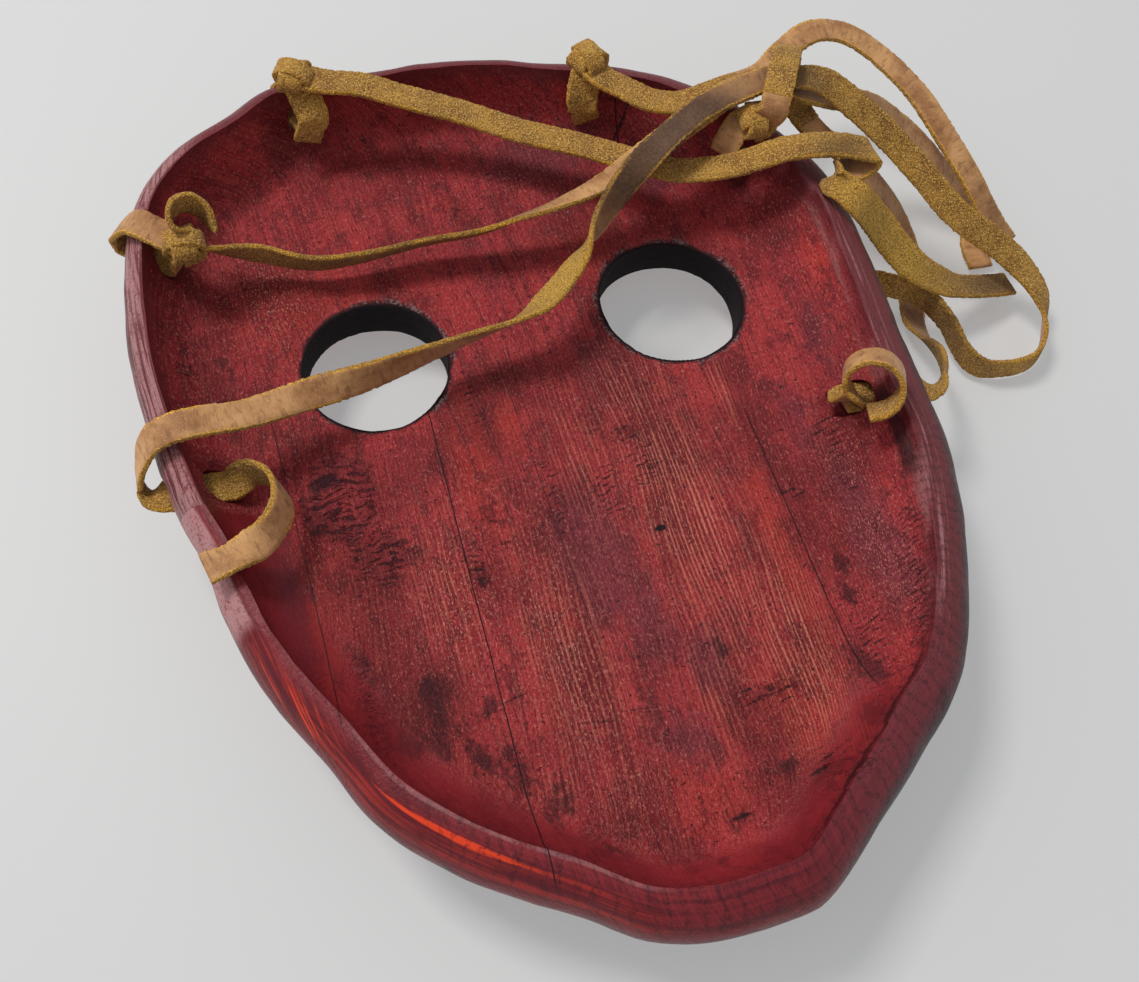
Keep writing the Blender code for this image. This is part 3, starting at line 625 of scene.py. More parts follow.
# Short black nicks across the grain: x, y, turn in degrees, half length, half width
NICKS = ((90, -12, 6, 5, 0.5), (87, -15, 8, 3, 0.35), (69, -31, 6, 3, 0.5), (72, -33, 10, 4, 0.3),
         (33, -88, 4, 3.5, 0.3), (33, -92, 6, 3.5, 0.3), (43, -91, 6, 4, 0.3), (43, -94, 4, 3, 0.3),
         (42, -117, 14, 3.5, 0.6), (46, -114, 18, 3, 0.4), (24, 6, 4, 4, 0.3), (26, 2, 4, 4, 0.3),
         (-24, -22, 4, 3, 0.3), (30, -9, 2, 5, 0.3), (-13, -84, -12, 7, 0.22), (0, -84, -10, 7, 0.2),
         (16, -122, 2, 4, 0.5), (-36, -70, 8, 6, 0.22), (75, -10, 6, 3, 0.3), (62, 119, 40, 6, 0.6))
# Stacks of short ticks left by the gouge: x at the middle, lean, lowest y, highest y, half width,
# spacing, slant
TICKS = ((89, 0.06, -38, -12, 1.6, 2.3, 0.0), (92, 0.35, -92, -52, 3.2, 1.7, 0.5),
         (-4.5, 0.0, -23, 0, 2.6, 2.0, 0.15), (13, 0.1, -22, -6, 3.0, 1.9, 0.1),
         (72, 0.3, -102, -78, 3.4, 1.8, 0.1), (27, 0.1, -14, -2, 4.0, 1.7, 0.0),
         (-34, 0.05, -32, -20, 2.2, 2.4, -0.2), (-90, 0.0, -92, -50, 3.0, 2.2, 0.8),
         (-20, -0.1, 20, 36, 2.0, 2.0, 0.1), (47, 0.3, -122, -112, 5.0, 2.2, 0.2))


def wood_material():
    g = Graph("stained_pine")
    spot = g.stretch(g.place, (1 / MM,) * 3, (-SHIFT[0], -SHIFT[1], 0.0))
    x, y, z = g.split(spot)
    over = g.value("over")
    turn = g.sum("ARCTAN2", y - CENTRE[1], x) * (180 / math.pi)
    # Each glued board has its own grain
    board = 0.0
    for at in BOARD_EDGES:
        board = board + (x > at)
    own_place = g.join(board * 31.0, board * 57.0, board * 13.0)
    own = g.wire("ShaderNodeVectorMath", {0: spot, 1: own_place}, operation="ADD")
    slow = g.noise(g.stretch(own, (0.02, 0.006, 0.02)), 1.0, 2.0)
    rings = x + z * 0.85 + (slow * 22.0 + board * 17.0)
    lines = g.noise(g.join(rings, y * 0.012, board), 1.25, 3.0, 0.7)
    dashes = g.noise(g.join(rings * 1.8, y * 0.11, 4.0), 1.0, 3.0, 0.7)
    fleck = g.noise(g.join(rings * 2.6, y * 0.75, 9.0), 1.0, 2.0, 0.7)
    grit = g.noise(g.join(x * 1.6, y * 0.85, z), 1.0, 3.0, 0.75)
    patch = g.noise(g.stretch(spot, (0.04, 0.026, 0.04)), 1.0, 5.0, 0.62)
    blotch = g.noise(g.stretch(spot, (0.13, 0.075, 0.13), (5, 5, 5)), 1.0, 5.0, 0.72)
    speck = g.noise(spot, 1.1, 3.0, 0.7)
    ragged = blotch - 0.5
    # Base stain
    g.colour = g.mix(g.step(patch, 0.36, 0.62), STAIN_DARK, STAIN_BRIGHT)
    g.coat(g.value("red") * 0.75, STAIN_RED)
    g.coat(g.value("deep") * 0.75, STAIN_DEEP)
    purple = g.step(g.value("purple") + ragged * 1.6, 0.15, 0.75)
    g.coat(purple * 0.85, STAIN_PURPLE)
    g.coat(g.step(blotch, 0.5, 0.62) * 0.6, (0.13, 0.009, 0.015))
    # Growth lines, dark dashes and pale torn fibres along the grain; the pale flecks are torn fibres and
    # painted glints, and the pale grit specks are painted glints
    band = g.step(over, -0.75, -0.3) * g.window(turn, -185, -62, 12)
    plain = 1.0 - band * 0.75
    g.coat(g.step(lines, 0.48, 0.36) * (plain * 0.5), (0.085, 0.006, 0.01))
    bands = g.noise(g.join(rings * 0.22, y * 0.006, 2.0), 1.0, 2.0)
    growth = g.sine(rings * 4.2 + bands * 18.0)
    fade = g.noise(g.join(rings * 0.6, y * 0.06, 7.0), 1.0, 3.0, 0.65)
    pale = g.line(g.value("pale"), 0.95, 0.1) * plain
    g.coat(g.step(growth, 0.0, 0.9) * g.step(fade, 0.36, 0.56) * (pale * 0.85), (0.74, 0.23, 0.145))
    g.coat(g.step(growth, -0.1, -0.8) * pale * 0.55, (0.16, 0.012, 0.012))
    g.coat(g.step(dashes, 0.575, 0.65) * (plain * 0.7), (0.05, 0.004, 0.008))
    # Pale flecks: torn fibres, and painted glints on them
    fibres_and_glints = g.line(g.value("flecks"), 0.85, 0.22) * plain
    g.coat(g.step(fleck, 0.58, 0.66) * fibres_and_glints, (0.78, 0.33, 0.22))
    g.coat(g.step(grit, 0.45, 0.35) * (plain * 0.65), (0.06, 0.005, 0.01))
    # Pale grit specks: painted glints
    g.coat(g.step(grit, 0.585, 0.66) * (plain * 0.55), (0.8, 0.26, 0.22))
    # Ragged tears across the grain left by the gouge
    heave = g.noise(g.stretch(own, (0.09, 0.07, 0.1)), 1.0, 3.0, 0.6)
    bent = y + heave * 7.0
    across = g.noise(g.join(x * 0.16, bent * 0.62, 3.0), 1.0, 3.0, 0.62)
    short = g.noise(g.join(x * 0.33, bent * 0.8, 8.0), 1.0, 2.0, 0.6)
    rough_zone = g.step(g.value("chatter") + ragged * 1.8, 0.3, 0.75)
    tears = g.step(across, 0.505, 0.575) * rough_zone
    g.coat(rough_zone * 0.36, (0.075, 0.006, 0.01))
    ticks = 0.0
    ragged_x = g.line(ragged, 7.0, x)
    heaved_y = g.line(heave, 6.0, y)
    broken = (short - 0.5) * 7.0
    for at, lean, low, high, half, space, slant in TICKS:
        off = ragged_x + g.line(y, -lean, lean * (low + high) / 2 - at)
        row = g.sine(g.line(off, -slant, heaved_y) * (2 * math.pi / space))
        row = row + broken
        stack = g.step(abs(off), half * 1.7, half * 0.6) * g.window(y, low, high, 3)
        ticks = g.most(ticks, g.step(row, 0.5, 1.2) * stack)
    strewn = g.step(short, 0.645, 0.69) * g.step(patch, 0.44, 0.52)
    cuts = g.most(tears, g.most(ticks, strewn * plain))
    cuts = cuts * g.step(speck, 0.28, 0.5)
    g.coat(cuts * 0.9, (0.032, 0.005, 0.009))
    # Scorched blotches with ragged edges
    charred = g.value("scorch") + (ragged * 2.2 + (speck - 0.5) * 0.9)
    burn = g.step(charred, 0.4, 0.72)
    burn = burn * g.line(g.step(speck, 0.62, 0.4), 0.45, 0.5)
    g.coat(burn * 0.92, SOOT)
    # Inner slope and rim: smooth wine, then dark to the outside
    g.coat(band * 0.62, WINE)
    round_rim = g.noise(g.join(over * 9.0, turn * 0.05, 2.0), 1.0, 4.0, 0.6)
    edge_lines = g.noise(g.join(rings * 1.0, y * 0.03, 30.0), 0.9, 4.0, 0.7)
    right = g.step(turn, -84, -66)
    on_rim = g.step(over, -0.1, 0.04)
    mottled = g.step(round_rim + edge_lines, 0.82, 1.18)
    rim_colour = g.mix(mottled, (0.125, 0.012, 0.019), (0.25, 0.022, 0.028))
    rim_colour = g.mix(right * 0.6, rim_colour, (0.17, 0.036, 0.046))
    g.coat(on_rim * 0.9, rim_colour)
    stripes = g.window(turn, -161, -136, 4) * g.window(over, 0.36, 0.85, 0.14)
    lower = g.window(turn, -140, -100, 6) * g.window(over, 0.42, 0.8, 0.12)
    bright = g.mix(g.step(edge_lines, 0.5, 0.6), (0.11, 0.01, 0.016), (0.5, 0.036, 0.024))
    g.coat(stripes * 0.6, bright)
    glow = g.mix(g.step(round_rim, 0.44, 0.6), (0.12, 0.01, 0.015), (0.4, 0.028, 0.018))
    g.coat(lower * 0.7, glow)
    bow = g.line(((turn + 122) * (1 / 14.5)) ** 2.0, -0.11, 0.11)
    bow = bow + ((round_rim - 0.5) * 0.3 + ragged * 0.12)
    away = abs(over + g.line(turn, 0.0015, -0.255))
    streak = g.step(bow - away, 0.0, 0.07) * g.window(turn, -135, -109, 3)
    g.coat(streak * 0.95, ORANGE)
    flare_place = g.window(turn, -153, -141, 4) * g.window(over, 0.5, 0.75, 0.12)
    g.coat(g.step(edge_lines, 0.58, 0.64) * flare_place * 0.9, (0.85, 0.066, 0.018))
    outside = g.step(over + ragged * 0.7, g.line(right, -0.44, 0.98), g.line(right, -0.2, 1.15))
    # The dark outer wall is kept lighter on the left, where it faces the light: painted light
    outside = outside * (1.0 - g.window(turn, 130, 190, 8) * 0.6)
    g.coat(outside * 0.93, (0.036, 0.013, 0.02))
    # Painted highlights on the near crest and on the right crest, painted sheen on the left outer side that
    # faces the light, and a worn pale patch on the left outer roll
    # Painted highlight along the near crest, then a worn pale patch on the left
    highlights_and_wear = g.window(over, 0.03, 0.07, 0.05) * g.window(turn, -134, -100, 6)
    highlights_and_wear = g.most(highlights_and_wear * 0.4, g.window(over, 0.4, 0.92, 0.12) * g.window(turn, -182, -161, 3))
    # Painted highlights along the right crest
    right_crest_highlight = g.window(over, 0.02, 0.3, 0.12) * g.window(turn, -40, 26, 8)
    highlights_and_wear = g.most(highlights_and_wear, right_crest_highlight * (g.step(round_rim, 0.47, 0.64) * 0.75))
    # Painted sheen on the left outer side
    left_outer_sheen = g.window(over, 0.15, 0.95, 0.15) * g.window(turn, 128, 184, 6)
    highlights_and_wear = g.most(highlights_and_wear, left_outer_sheen * g.step(round_rim + edge_lines, 0.86, 1.08))
    highlights_and_wear = highlights_and_wear * g.step(speck + blotch, 0.7, 1.05)
    g.coat(highlights_and_wear * 0.75, (0.6, 0.3, 0.3))
    # Fine curved tool ticks over the lower right rim and the chin
    around_rim = g.sine(turn * 3.4 + blotch * 16.0)
    combs = g.step(around_rim, 0.35, 0.95) * g.window(over, -0.02, 0.75, 0.2)
    combs = combs * (g.window(turn, -118, -22, 10) * g.step(speck, 0.4, 0.56))
    g.coat(combs * 0.5, (0.03, 0.006, 0.012))
    # The face: darker in its hollows, as pooled stain and as painted shade, and lighter on its ridges, as
    # rubbed wear and as painted highlight
    face_stain_and_shade = g.step(g.value("face_stain_and_shade") + ragged * 0.8, 0.15, 0.8) * 0.8
    g.coat(face_stain_and_shade, (0.05, 0.005, 0.009))
    face_wear_and_highlight = g.value("face_wear_and_highlight") * g.step(grit + blotch, 0.85, 1.15)
    g.coat(face_wear_and_highlight * 0.7, (0.62, 0.17, 0.12))
    # Eye holes: burnt walls and edges, and pale chips on the edges that are also a painted highlight
    nearest = g.least(*(g.oval(spot, *eye) for eye in EYES))
    wall_share = g.step(g.sum("SQRT", nearest), 1.045, 1.02)
    near_eye = g.value("eye_edge") + ragged * 1.6
    char = g.most(wall_share, g.step(near_eye, 0.32, 0.62) * 0.9)
    g.coat(char, CHAR)
    # Pale chipped wood on the eye edges, also a painted highlight
    broken_edge_and_highlight = g.window(g.value("eye_edge"), 0.36, 0.6, 0.1) * g.step(blotch + speck, 1.02, 1.14)
    broken_edge_and_highlight = broken_edge_and_highlight * (1.0 - wall_share)
    g.coat(broken_edge_and_highlight * 0.6, (0.4, 0.22, 0.22))
    # Seams, nicks, the knot, the crack on the chin, and painted shade along the crease under the lower right
    # rim and along a fold on the right slope
    wobble = (g.noise(spot, 0.05, 2.0) - 0.5) * 0.8
    marks_and_crease_shade = 0.0
    for at, lean, low, high, half, dark in SEAMS:
        off = abs(x + wobble + g.line(y, -lean, -at))
        line = g.step(off, half * 1.7, half * 0.7) * dark
        marks_and_crease_shade = g.most(marks_and_crease_shade, line * g.window(y, low, high, 5))
    flat = g.join(x, y + (speck - 0.5) * 2.6, 0.0)
    nearest = 9.0
    for at_x, at_y, lean, half_long, half_wide in NICKS:
        nearest = g.least(nearest, g.oval(flat, at_x, at_y, half_long, half_wide, lean))
    reach = g.line(grit - 0.5, 4.0, nearest)
    marks_and_crease_shade = g.most(marks_and_crease_shade, g.step(reach, 1.3, 0.3) * 0.9)
    knot = ((x - 25) * 0.42) ** 2.0 + ((y + 31) * 0.75) ** 2.0
    marks_and_crease_shade = g.most(marks_and_crease_shade, g.step(knot + speck * 0.7, 1.3, 0.7))
    # Painted shade in the crease under the lower right rim and in the fold on the right slope
    crease = g.window(over + ragged * 0.14, -0.026, -0.018, 0.018) * g.window(turn, -74, -54, 6)
    fold_shade = g.window(over + ragged * 0.1, -0.09, -0.04, 0.04) * g.window(turn, -22, -10, 4)
    crease = g.most(crease, fold_shade)
    chin_crack = g.window(over + ragged * 0.3, 0.27, 0.3, 0.03) * g.window(turn, -97, -84, 3)
    marks_and_crease_shade = g.most(marks_and_crease_shade, g.most(crease * 0.75, chin_crack * 0.3))
    marks_and_crease_shade = marks_and_crease_shade * g.step(z, 20, 24)
    g.coat(marks_and_crease_shade, (0.012, 0.004, 0.006))
    g.feed(g.shader.inputs["Base Color"], g.colour)
    # Surface: satin, glossier on the rim, rougher where it is torn or burnt
    rough = g.line(grit, 0.5, 0.24)
    rough = rough + g.most(cuts, burn) * 0.15
    rough = rough + wall_share * 0.4
    rough = g.line(g.most(on_rim, band), -0.12, rough)
    g.feed(g.shader.inputs["Roughness"], g.least(g.most(rough, 0.25), 0.85))
    g.shader.inputs["Specular IOR Level"].default_value = 0.3
    # The relief has only a few light parts, because the bump works each of them out three times
    gouges = g.noise(g.stretch(spot, (0.13, 0.075, 0.13), (5, 5, 5)), 1.0, 3.0, 0.72)
    height = g.step(across, 0.505, 0.575) * g.value("chatter") * -0.7
    height = height + gouges * g.line(band, -0.9, 1.5)
    height = height + grit * plain * 0.9
    g.feed(g.shader.inputs["Normal"], g.bump(height * 0.001, 1.0, 0.9))
    return g.material


def leather_material():
    g = Graph("tan_leather")
    along, across, grain, dark, gold = map(g.value, ("along", "across", "grain", "dark", "gold"))
    strip = g.join(along, across, grain * 3.0)
    spot = g.stretch(g.place, (1 / MM,) * 3)
    cloud = g.noise(strip, 0.09, 4.0, 0.62)
    fuzz = g.noise(spot, 1.2, 3.0, 0.8)
    tip = g.noise(spot, 1.9, 2.0, 0.6)
    # Flesh side: mustard suede
    suede = g.mix(g.step(cloud, 0.32, 0.66), SUEDE_DARK, SUEDE_LIGHT)
    suede = g.mix(gold * 0.85, suede, SUEDE_GOLD)
    suede = g.mix(g.step(fuzz, 0.52, 0.41) * 0.65, suede, (0.15, 0.06, 0.009))
    suede = g.mix(g.step(tip, 0.52, 0.61) * 0.9, suede, (1.0, 0.62, 0.16))
    # Grain side: smooth tan, creased
    crease = g.noise(g.join(along * 0.55, across * 0.16, 0.0), 1.0, 4.0, 0.65)
    smooth = g.mix(g.step(cloud, 0.3, 0.7), SMOOTH_DARK, SMOOTH_LIGHT)
    smooth = g.mix(g.step(crease, 0.5, 0.66) * 0.5, smooth, (0.16, 0.066, 0.022))
    smooth = g.mix(g.step(tip, 0.56, 0.7) * 0.4, smooth, (0.8, 0.46, 0.2))
    on_grain = g.step(grain, 0.4, 0.6)
    g.colour = g.mix(on_grain, suede, smooth)
    # Dark stretches: darker leather, and painted shade where a strap lies in shadow; the pale edges are
    # dimmed there too
    g.coat(dark * 0.9, g.mix(g.step(fuzz, 0.42, 0.6), (0.04, 0.016, 0.007), (0.095, 0.04, 0.018)))
    edge_at = abs(across) + (fuzz - 0.5) * 2.2
    frayed = g.noise(g.join(along * 0.07, across * 0.12, grain), 1.0, 3.0, 0.65)
    edge = g.step(edge_at, 3.8, 4.5) * g.step(frayed, 0.38, 0.6)
    edge_colour = g.mix(g.step(tip, 0.4, 0.62), (0.44, 0.195, 0.02), (1.0, 0.55, 0.07))
    g.coat(edge * g.line(dark, -0.35, 0.95), edge_colour)
    g.feed(g.shader.inputs["Base Color"], g.colour)
    g.feed(g.shader.inputs["Roughness"], g.line(on_grain, -0.36, 0.95))
    g.shader.inputs["Specular IOR Level"].default_value = 0.35
    g.shader.inputs["Sheen Weight"].default_value = 0.1
    g.shader.inputs["Sheen Roughness"].default_value = 0.5
    flesh = 1.0 - on_grain
    height = (fuzz + tip) * flesh * 1.1 + crease * 0.35
    height = height + tip * 0.15
    g.feed(g.shader.inputs["Normal"], g.bump(height * 0.001, 1.0, 0.9))
    return g.material


def plain_material(name, colour, roughness):
    g = Graph(name)
    haze = g.noise(g.place, 3.0, 3.0)
    g.feed(g.shader.inputs["Base Color"], g.mix(haze, tuple(0.985 * c for c in colour), colour))
    g.shader.inputs["Roughness"].default_value = roughness
    return g.material


# Thong routes, the same points as in the solid
LEFT_UPPER_TAIL = ((-98, 99, 60, -0.9, 0.4, 0.3), (-93, 104, 59, -0.3, 1, 0.2), (-88, 103, 55, 0.7, 0.8, 0),
                   (-86, 98, 50, 1, 0.2, 0))
LEFT_UPPER_RUN = ((-90, 94, 48, 0.2, 0.7, 0.6), (-75, 93, 41, 0.25, 0.96, 0.1),
                  (-59, 87, 38, 0.2, 0.95, 0.2), (-43, 85, 38, 0, 0.94, 0.35),
                  (-21, 85, 39, 0, 0.9, 0.45), (-2, 83, 41, 0, 0.85, 0.5), (12, 83, 44, -0.1, 0.8, 0.6),
                  (26, 83, 47, -0.2, 0.65, 0.75), (41, 85, 50, -0.25, 0.4, 0.9),
                  (57, 90, 54, -0.2, 0.1, 1), (77, 97.5, 58), (95, 103.8, 61.5), (110, 105, 62),
                  (119, 99, 60), (134, 98, 53), (151, 99, 46), (164, 93, 38), (177, 83, 28),
                  (188, 75, 17), (196, 65, 8), (193, 55, 3), (192, 45, 2.5))
LEFT_LOWER_TAIL = ((-110, -16, 55.4), (-101, -14, 54.6, 0, 0.3, 1), (-92, -8.5, 50.5, 0.8, -0.4, 0.7),
                   (-86, 1, 46.5, 1, 0.1, 0.4), (-87, 11, 43.5, 0.6, 0.8, -0.1),
                   (-93.5, 16.5, 41, 0, 0.9, -0.5))
LEFT_LOWER_LOOP = ((-125, 21, 38.5, -1, 0, 0), (-122.5, 26, 46, -1, 0, 0.3), (-117, 28, 54, -0.5, 0, 1),
                   (-110, 28.5, 57), (-102, 29, 56))
LEFT_LOWER_RUN = ((-89, 30, 52), (-70, 35, 46, 0.2, -0.4, 0.9), (-51, 38, 43, 0.2, -0.85, 0.5),
                  (-31, 41, 43, 0.1, -1, 0), (-14, 43, 44, 0.1, -0.95, -0.3),
                  (0, 44, 46, 0.25, -0.8, -0.5), (11, 48, 48, 0.4, -0.45, -0.8),
                  (24, 58, 50, 0.6, -0.5, -0.65), (35, 69, 53, 0.6, -0.75, 0.3),
                  (47, 79, 57, 0.25, -0.65, 0.7), (62, 88, 61), (80, 96, 65), (103, 100, 68),
                  (117, 100, 66), (127, 98, 63, -0.1, -0.4, 0.9), (136, 92, 58, -0.2, -0.5, 0.8),
                  (148, 82, 50, -0.25, -0.55, 0.75), (159, 69, 42, -0.3, -0.55, 0.75),
                  (170, 53, 34, -0.3, -0.6, 0.7), (183, 43, 27, -0.25, -0.6, 0.7),
                  (193, 34, 21, -0.1, -0.4, 0.8), (200, 23, 15, 0.3, -0.2, 0.9),
                  (199, 11, 10, 0.9, -0.3, 0.4), (193, 2, 7.5, 0.7, -1, 0.2), (183, -1, 7, 0, -1, 0.1),
                  (169, 2, 7, -0.4, -1, 0.1), (163, 10, 9.5, -1, -0.3, 0.1),
                  (160.5, 21, 13, -1, -0.2, 0.1), (155, 32, 15, -0.7, -0.7, 0.2),
                  (145, 40, 15, -0.3, -1, 0.4), (133, 46, 14, -0.3, -1, 0.8))
TOP_LEFT_TAIL = ((-45, 136, 51, 0, -1, 0.3), (-47, 134.5, 46, 0, -1, 0), (-49, 134, 41, 0, -1, 0))
TOP_LEFT_RUN = ((-38, 141, 59), (-27, 139, 57), (-15, 134, 54), (4, 126, 50), (22, 115, 48),
                (41, 105, 47), (56, 95, 47), (70, 85, 49), (87, 79, 54), (103, 76, 61), (118, 73, 62.5),
                (129, 69, 62), (133.5, 67.5, 59.5, 1, 0, 0), (131, 67, 56.5, 0, 0, -1),
                (124, 65.5, 56, 0, 0, -1), (118, 63.5, 57.8, -1, 0, 0.1),
                (115.5, 61.5, 58, -0.9, -0.3, 0.7), (117.5, 58.7, 58.5, -0.1, -0.4, 0.9),
                (123, 52.7, 56, -0.1, -0.45, 0.85), (133.5, 49, 44, -0.1, -0.5, 0.8),
                (140, 44, 36.5, -0.1, -0.6, 0.75), (147, 38, 30.5, 0, -0.6, 0.75),
                (157, 34, 24, 0, -0.4, 0.9), (170, 32, 17), (186, 32, 11), (196, 33, 7))
TOP_RIGHT_TAIL = ((46, 122.5, 51, 0, -1, 0.3), (47.5, 121, 45.5, 0, -1, 0), (49, 120.5, 40, 0, -1, 0))
TOP_RIGHT_RUN = ((53, 123, 58.5), (60, 117, 57), (68, 110.5, 56), (78, 107, 56), (89, 108, 57),
                 (100, 111, 55.5), (110, 116, 50.5), (119, 122, 46.5), (128, 129, 45), (140, 135, 46),
                 (149, 135, 46), (158, 131, 45), (168, 120, 42), (176, 104, 39), (181, 87, 35),
                 (187, 70, 28.5), (193, 56, 20), (198, 46, 15))
RIGHT_LOWER_RUN = ((137, -8, 30, 0.7, -0.7, 0.3), (146, 3, 22, 0.8, -0.5, 0.5), (150, 15, 12, 0.6, -0.3, 1),
                   (153, 27, 5, 0.3, -0.1, 1), (158, 39, 3.5), (162, 50, 5), (161, 60, 12), (155, 68, 23),
                   (144, 76, 35), (133, 84, 43), (124, 92, 48), (121, 102, 50), (122, 111, 51.5),
                   (121.5, 116, 57, 0.5, 0.8, 0.1), (118, 113.5, 66, 0.3, 0.7, 0.7), (112, 105, 72.5),
                   (106.5, 96, 73), (103, 90, 71, -0.3, -0.6, 0.8), (101, 87, 66, -0.4, -0.8, 0.2))
CURL_MIDDLE, CURL_RADIUS, CURL_RISE = (98.5, -12.5, 56), 8.5, 6.5
CURL_START, CURL_TURN = -78.0, 330.0
CURL_LINE = (-0.52, -0.74, 0.52)
KNOT_LEFT_UPPER, KNOT_GATHER = (-96.0, 93.0, 53.0), (98.0, 90.4, 60.5)
KNOT_WIDE, KNOT_TALL, KNOT_LIFT = 6.5, 4.6, 5.6
GATHER_TAIL = ((93, 91.5, 58.5, -0.3, -0.3, 0.9), (90, 90, 55, -0.6, -0.6, 0.2),
               (87.5, 88, 49, -0.8, -0.6, 0))
RIBBON_STEP = 0.9


def rim_points(direction, profile):
    turn = math.radians(direction)
    out = (math.cos(turn), math.sin(turn))
    return [(*place(direction, radius), height, out[0] * level, out[1] * level, up)
            for radius, height, level, up in profile]


def through_hole(direction):
    inner, outer, height = hole_facts(direction)
    middle = (inner + outer) / 2
    radii = (inner - 3, inner + 2, middle, outer + 1.5)
    return rim_points(direction, [(radius, height, 0, -1) for radius in radii])


def rim_wrap(direction):
    """Points over the crest from inside, down the outer side and back in through the hole."""
    wide, crest, crest_z = section_at(direction)[:3]
    inner, height = hole_facts(direction)[0], crest_z - HOLE_DROP
    lift = THONG_THICK / 2 + FIT_GAP + 0.9
    profile = [
        (crest - 3, crest_z + lift + 0.4, 0, 1),
        (crest + 0.45 * (wide - crest), crest_z + lift - 0.2, 0.3, 1),
        (wide + 0.95 * lift, crest_z - 0.5 * ROLL_DROP, 0.9, 0.4),
        (wide + lift + 0.6, height + 5, 1, 0),
        (wide + lift + 0.1, height + 1.4, 0.8, -0.6),
    ]
    within = [(inner - 5.5, height + 2, -0.8, -0.5), (inner - 6.5, height + 6, -1, 0)]
    wrap = rim_points(direction, profile) + through_hole(direction)[::-1]
    return wrap + rim_points(direction, within)


def curl_points():
    middle, line = Vector(CURL_MIDDLE), Vector(CURL_LINE).normalized()
    side = Vector((0, 0, 1)).cross(line).normalized()
    other = line.cross(side)
    points = []
    steps = 10
    for step in range(steps):
        part = step / (steps - 1)
        turn = math.radians(CURL_START + CURL_TURN * part)
        out = side * math.cos(turn) + other * math.sin(turn)
        reach = CURL_RADIUS * (1.0 + 0.1 * (1 - part))
        points.append((*(middle + out * reach + line * CURL_RISE * (0.5 - part)), *out))
    return points


def smooth(points, step=RIBBON_STEP):
    """Evenly spaced points, face directions and lengths along a smooth curve through the given ones."""
    rows = np.array([tuple(p) + ((0, 0, 1) if len(p) == 3 else ()) for p in points], float)
    rows = np.vstack([2 * rows[0] - rows[1], rows, 2 * rows[-1] - rows[-2]])
    fine = []
    for before, here, after, later in zip(rows, rows[1:], rows[2:], rows[3:]):
        for part in np.linspace(0, 1, 24, endpoint=False):
            fine.append(curve(before, here, after, later, part))
    fine.append(rows[-2])
    fine = np.array(fine)
    length = np.concatenate([[0], np.cumsum(np.linalg.norm(np.diff(fine[:, :3], axis=0), axis=1))])
    wanted = np.linspace(0, length[-1], int(length[-1] / step) + 2)
    rows = np.stack([np.interp(wanted, length, column) for column in fine.T], axis=1)
    return rows[:, :3], rows[:, 3:], wanted


# Section of a thong: share of the half width, share of the half thickness, from the left edge over the top
PROFILE = ((-1.0, 0.0), (-0.985, 0.6), (-0.93, 0.95), (-0.66, 1.0), (-0.33, 1.0), (0.0, 1.0), (0.33, 1.0),
           (0.66, 1.0), (0.93, 0.95), (0.985, 0.6), (1.0, 0.0), (0.985, -0.6), (0.93, -0.95), (0.66, -1.0),
           (0.33, -1.0), (0.0, -1.0), (-0.33, -1.0), (-0.66, -1.0), (-0.93, -0.95), (-0.985, -0.6))


def ribbon_parts(points, seed, grain_up=True, flips=(), wide=THONG_WIDTH, wider=()):
    """Points, faces and painted values of one smooth strip; its sides change over inside the flips."""
    path, facing, length = smooth(points)
    along = np.gradient(path, axis=0)
    along /= np.linalg.norm(along, axis=1)[:, None]
    across = np.cross(along, facing)
    across /= np.linalg.norm(across, axis=1)[:, None]
    normal = np.cross(across, along)
    flipped = zone(path, flips) > math.exp(-1)
    room = 1 + 0.16 * np.minimum(zone(path, wider), 1)
    rows, values = [], []
    for step, (middle, side, up) in enumerate(zip(path, across, normal)):
        s = length[step]
        swell = room[step] + 0.07 * noise.noise(Vector((s / 14, seed, 0)))
        lean = 0.25 * noise.noise(Vector((s / 22, seed, 5)))
        for left, above in PROFILE:
            nick = 0.55 * noise.noise(Vector((s / 1.3, left * 3 + seed, 9))) if abs(left) > 0.9 else 0.0
            width = left * (wide / 2 * swell + nick)
            lift = above * THONG_THICK / 2 + 0.25 * (left * left - 0.4) * lean + lean * 0.4 * left
            lift += 0.16 * noise.noise(Vector((s / 3, left * 2, seed + (3 if above > 0 else 8))))
            rows.append(middle + side * width + up * lift)
            on_face = abs(above) > 0.7 and abs(left) < 0.97
            grain = on_face and ((above > 0) == grain_up) != flipped[step]
            values.append((s, width * THONG_WIDTH / wide, float(grain)))
    count, sides = len(path), len(PROFILE)
    faces = [tuple(range(sides)), *tube_faces(count, sides)]
    faces.append(tuple(sides * (count - 1) + corner for corner in reversed(range(sides))))
    return rows, faces, values, path, length[-1]


def heart_parts(middle, seed, size):
    """Lumpy ball in the middle of a knot."""
    rows, values = [], []
    rings, columns = 20, 30
    for row in range(rings + 1):
        polar = math.pi * row / rings
        for column in range(columns):
            way = 2 * math.pi * column / columns
            out = Vector((math.sin(polar) * math.cos(way), math.sin(polar) * math.sin(way), math.cos(polar)))
            bump = 1 + 0.15 * noise.noise(out * 2.5 + Vector((seed, 0, 0)))
            rows.append(np.array([at + bump * half * part for at, half, part in zip(middle, size, out)]))
            values.append((way * 5, 2.0 * math.cos(3 * polar), 0.0))
    return rows, tube_faces(rings + 1, columns), values


